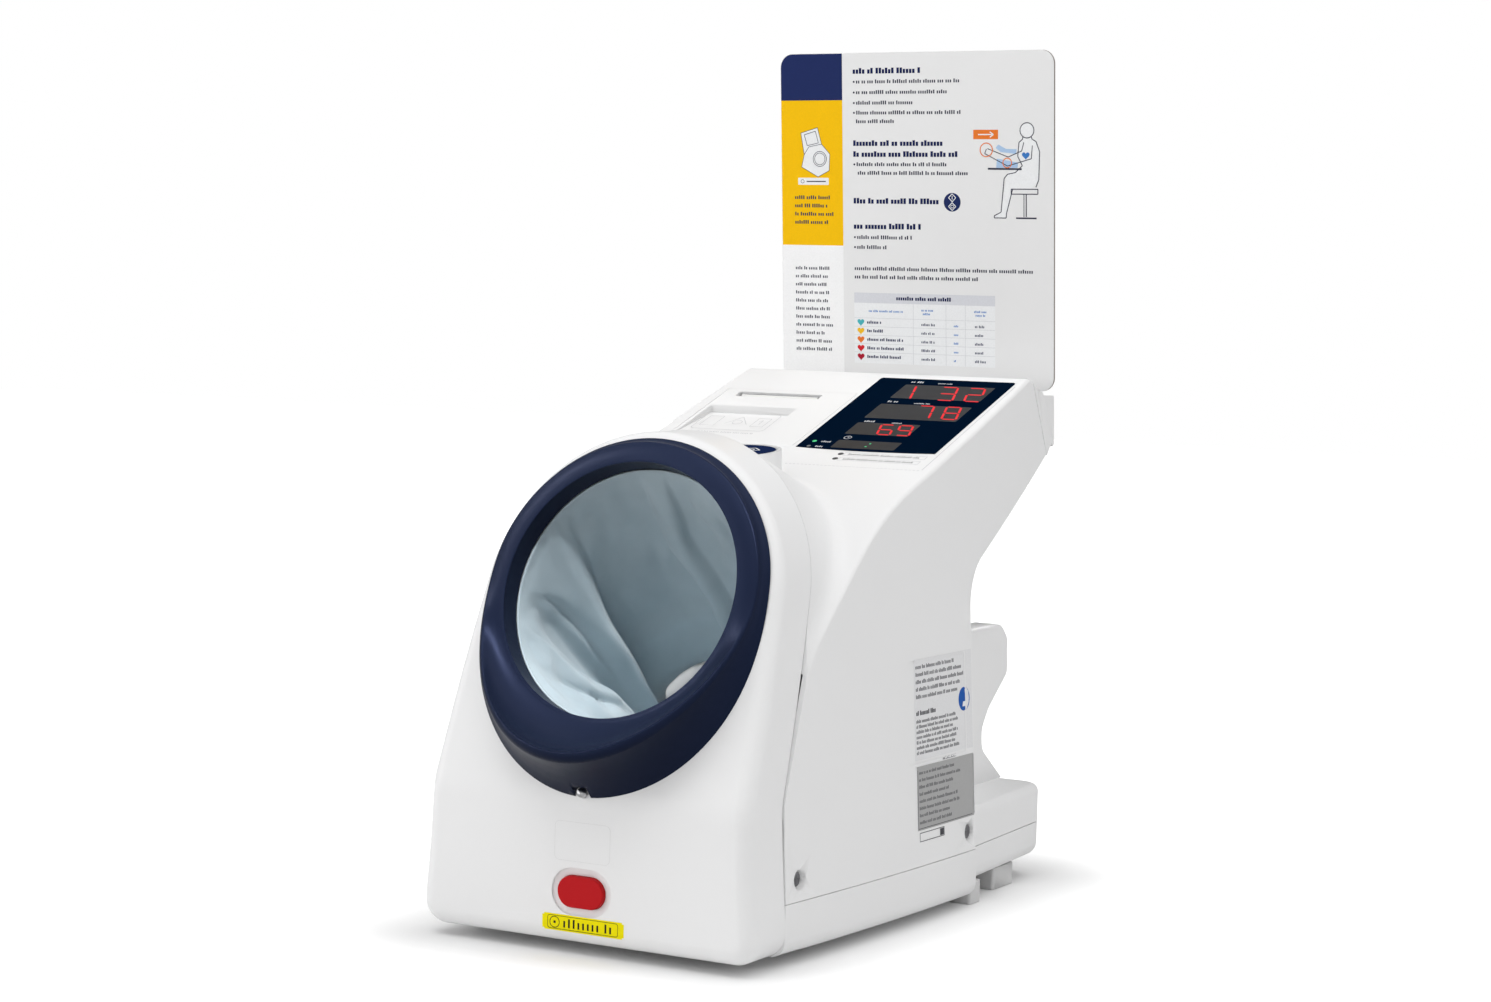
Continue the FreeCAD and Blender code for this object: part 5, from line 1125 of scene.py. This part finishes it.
def floor():
    work = bmesh.new()
    bmesh.ops.create_grid(work, x_segments=2, y_segments=2, size=FLOOR_SIZE)
    mesh = bpy.data.meshes.new("studio_floor")
    work.to_mesh(mesh)
    work.free()
    material, tree, shader = new_material("studio_floor")
    link = tree.links.new
    shader.inputs["Base Color"].default_value = (0.86, 0.86, 0.86, 1)
    shader.inputs["Roughness"].default_value = 0.9
    shader.inputs["Specular IOR Level"].default_value = 0.1
    # Camera-only glow that makes the far floor white; held back near the body, it leaves painted shade round
    # the body on top of its real shadow.
    path = tree.nodes.new("ShaderNodeLightPath")
    place = tree.nodes.new("ShaderNodeTexCoord")
    either = tree_node(tree, "ShaderNodeVectorMath", operation="ABSOLUTE")
    link(place.outputs["Object"], either.inputs[0])
    past = tree_node(tree, "ShaderNodeVectorMath", operation="SUBTRACT")
    past.inputs[1].default_value = (*PAINTED_SHADE_AREA, 0)
    link(either.outputs[0], past.inputs[0])
    clear = tree_node(tree, "ShaderNodeVectorMath", operation="MAXIMUM")
    link(past.outputs[0], clear.inputs[0])
    away = tree_node(tree, "ShaderNodeVectorMath", operation="LENGTH")
    link(clear.outputs[0], away.inputs[0])
    glow = tree_node(tree, "ShaderNodeMapRange", interpolation_type="SMOOTHSTEP")
    ramp = {"From Min": -0.01, "From Max": GLOW_REACH, "To Min": FLOOR_GLOW, "To Max": 1.0}
    for name, value in ramp.items():
        glow.inputs[name].default_value = value
    link(away.outputs["Value"], glow.inputs["Value"])
    lift = tree_node(tree, "ShaderNodeMath", operation="MULTIPLY")
    link(glow.outputs["Result"], lift.inputs[0])
    link(path.outputs["Is Camera Ray"], lift.inputs[1])
    shader.inputs["Emission Color"].default_value = (1, 1, 1, 1)
    link(lift.outputs[0], shader.inputs["Emission Strength"])
    mesh.materials.append(material)
    piece = bpy.data.objects.new("studio_floor", mesh)
    piece.location.z = -FLOOR_DROP
    scene.collection.objects.link(piece)


ROOM_LEVEL = 0.301
LAMPS = [                             # name, place, size, watts
    ("top_light", (0.0, -0.3, 2.4), (2.6, 2.2), 16.4),
    ("top_rear_light", (0.0, 1.6, 2.2), (1.6, 1.2), 1.1),
    ("top_right_light", (0.9, 0.3, 2.4), (1.2, 1.2), 6.9),
    ("top_front_light", (-0.3, -1.2, 2.5), (1.2, 1.2), 12.2),
    ("left_low_light", (-2.2, -1.3, 0.6), (1.2, 1.0), 6.4),
    ("left_light", (-2.2, -1.3, 1.3), (1.2, 1.2), 3.8),
    ("left_front_low_light", (-1.3, -2.2, 0.6), (1.2, 1.0), 4.4),
    ("left_front_light", (-1.3, -2.2, 1.3), (1.2, 1.2), 4.7),
    ("left_high_light", (-1.4, -1.4, 2.2), (1.2, 1.2), 2.7),
    ("front_low_light", (-0.4, -2.5, 0.3), (1.2, 0.6), 4.1),
    ("right_high_light", (1.8, 0.0, 2.0), (1.2, 1.2), 9.9),
    ("right_light", (2.5, 0.2, 0.8), (1.2, 1.2), 5.7),
]
LAMP_AIM = (0, 0, 0.22)
TUNNEL_MOUTH = LIP * MM
NARROW_LAMPS = [                      # name, place, target, watts, cone in degrees, radius, pieces lit
    ("cuff_light", (0.38, -0.90, 1.54), TUNNEL_MOUTH, 310.0, 6.0, 0.08,
     ("cuff_sleeve", "cuff_collar_finished")),
    ("collar_light", (-1.3, -1.0, 1.3), TUNNEL_MOUTH, 160.0, 12.0, 0.3, ("cuff_collar_finished",)),
    ("trim_light", (0.80, -1.44, 0.36), (-0.067, 0.033, 0.126), 300.0, 3.0, 0.08, ("exit_trim_finished",)),
    ("exit_light", (-0.25, 1.30, 0.62), (0.0, 0.045, 0.118), 50.0, 7.0, 0.08, ()),
]


def hang(name, lamp, spot, target):
    piece = bpy.data.objects.new(name, lamp)
    piece.location = spot
    piece.rotation_euler = (Vector(target) - Vector(spot)).to_track_quat("-Z", "Y").to_euler()
    scene.collection.objects.link(piece)
    return piece


def soft_box(name, spot, size, power):
    lamp = bpy.data.lights.new(name, "AREA")
    lamp.shape = "RECTANGLE"
    lamp.size, lamp.size_y = size
    lamp.energy = power
    hang(name, lamp, spot, LAMP_AIM)


def narrow_lamp(name, spot, target, power, cone, radius, lit):
    """Lamp with a narrow cone that lights only the named pieces, or all of them where none is named."""
    lamp = bpy.data.lights.new(name, "SPOT")
    lamp.energy = power
    lamp.spot_size = math.radians(cone)
    lamp.spot_blend = 0.7
    lamp.shadow_soft_size = radius
    piece = hang(name, lamp, spot, target)
    if lit:
        group = bpy.data.collections.new(name + "_lit")
        for other in lit:
            group.objects.link(bpy.data.objects[other])
        piece.light_linking.receiver_collection = group


def studio():
    world = bpy.data.worlds.new("studio")
    world.use_nodes = True
    scene.world = world
    tree = world.node_tree
    link = tree.links.new
    back = tree.nodes["Background"]
    path = tree.nodes.new("ShaderNodeLightPath")
    seen = tree_node(tree, "ShaderNodeMath", operation="MAXIMUM")
    link(path.outputs["Is Camera Ray"], seen.inputs[0])
    link(path.outputs["Is Transmission Ray"], seen.inputs[1])
    level = tree_node(tree, "ShaderNodeMapRange")
    level.inputs["To Min"].default_value = ROOM_LEVEL
    level.inputs["To Max"].default_value = 1.0
    link(seen.outputs[0], level.inputs["Value"])
    link(level.outputs["Result"], back.inputs["Strength"])
    back.inputs["Color"].default_value = (1, 1, 1, 1)
    for lamp in LAMPS:
        soft_box(*lamp)
    for lamp in NARROW_LAMPS:
        narrow_lamp(*lamp)


CAMERA_AZIMUTH, CAMERA_HEIGHT, CAMERA_ROLL = 29.093, 3.868, 1.510
CAMERA_TARGET, CAMERA_AWAY = Vector((-0.0087, 0.0, 0.2448)), 1.8524
LENS = 73.69


def camera():
    turn, lift, roll = (math.radians(v) for v in (CAMERA_AZIMUTH, CAMERA_HEIGHT, CAMERA_ROLL))
    back = Vector((math.sin(turn) * math.cos(lift), -math.cos(turn) * math.cos(lift), math.sin(lift)))
    right = Vector((math.cos(turn), math.sin(turn), 0))
    up = back.cross(right)
    across = right * math.cos(roll) + up * math.sin(roll)
    upward = up * math.cos(roll) - right * math.sin(roll)
    lens = bpy.data.cameras.new("camera")
    lens.lens = LENS
    lens.sensor_fit = "HORIZONTAL"
    lens.sensor_width = 36.0
    lens.clip_start = 0.05
    lens.clip_end = 30.0
    piece = bpy.data.objects.new("camera", lens)
    place = Matrix((across, upward, back)).transposed().to_4x4()
    place.translation = CAMERA_TARGET + back * CAMERA_AWAY
    piece.matrix_world = place
    scene.collection.objects.link(piece)
    scene.camera = piece


display_prints()
board_prints()
front_label()
side_labels()
panel_prints()
lid_pictures()
paper_strip()
key_marks()
cuff_sleeve()
floor()
studio()
camera()
scene.view_settings.view_transform = "Standard"
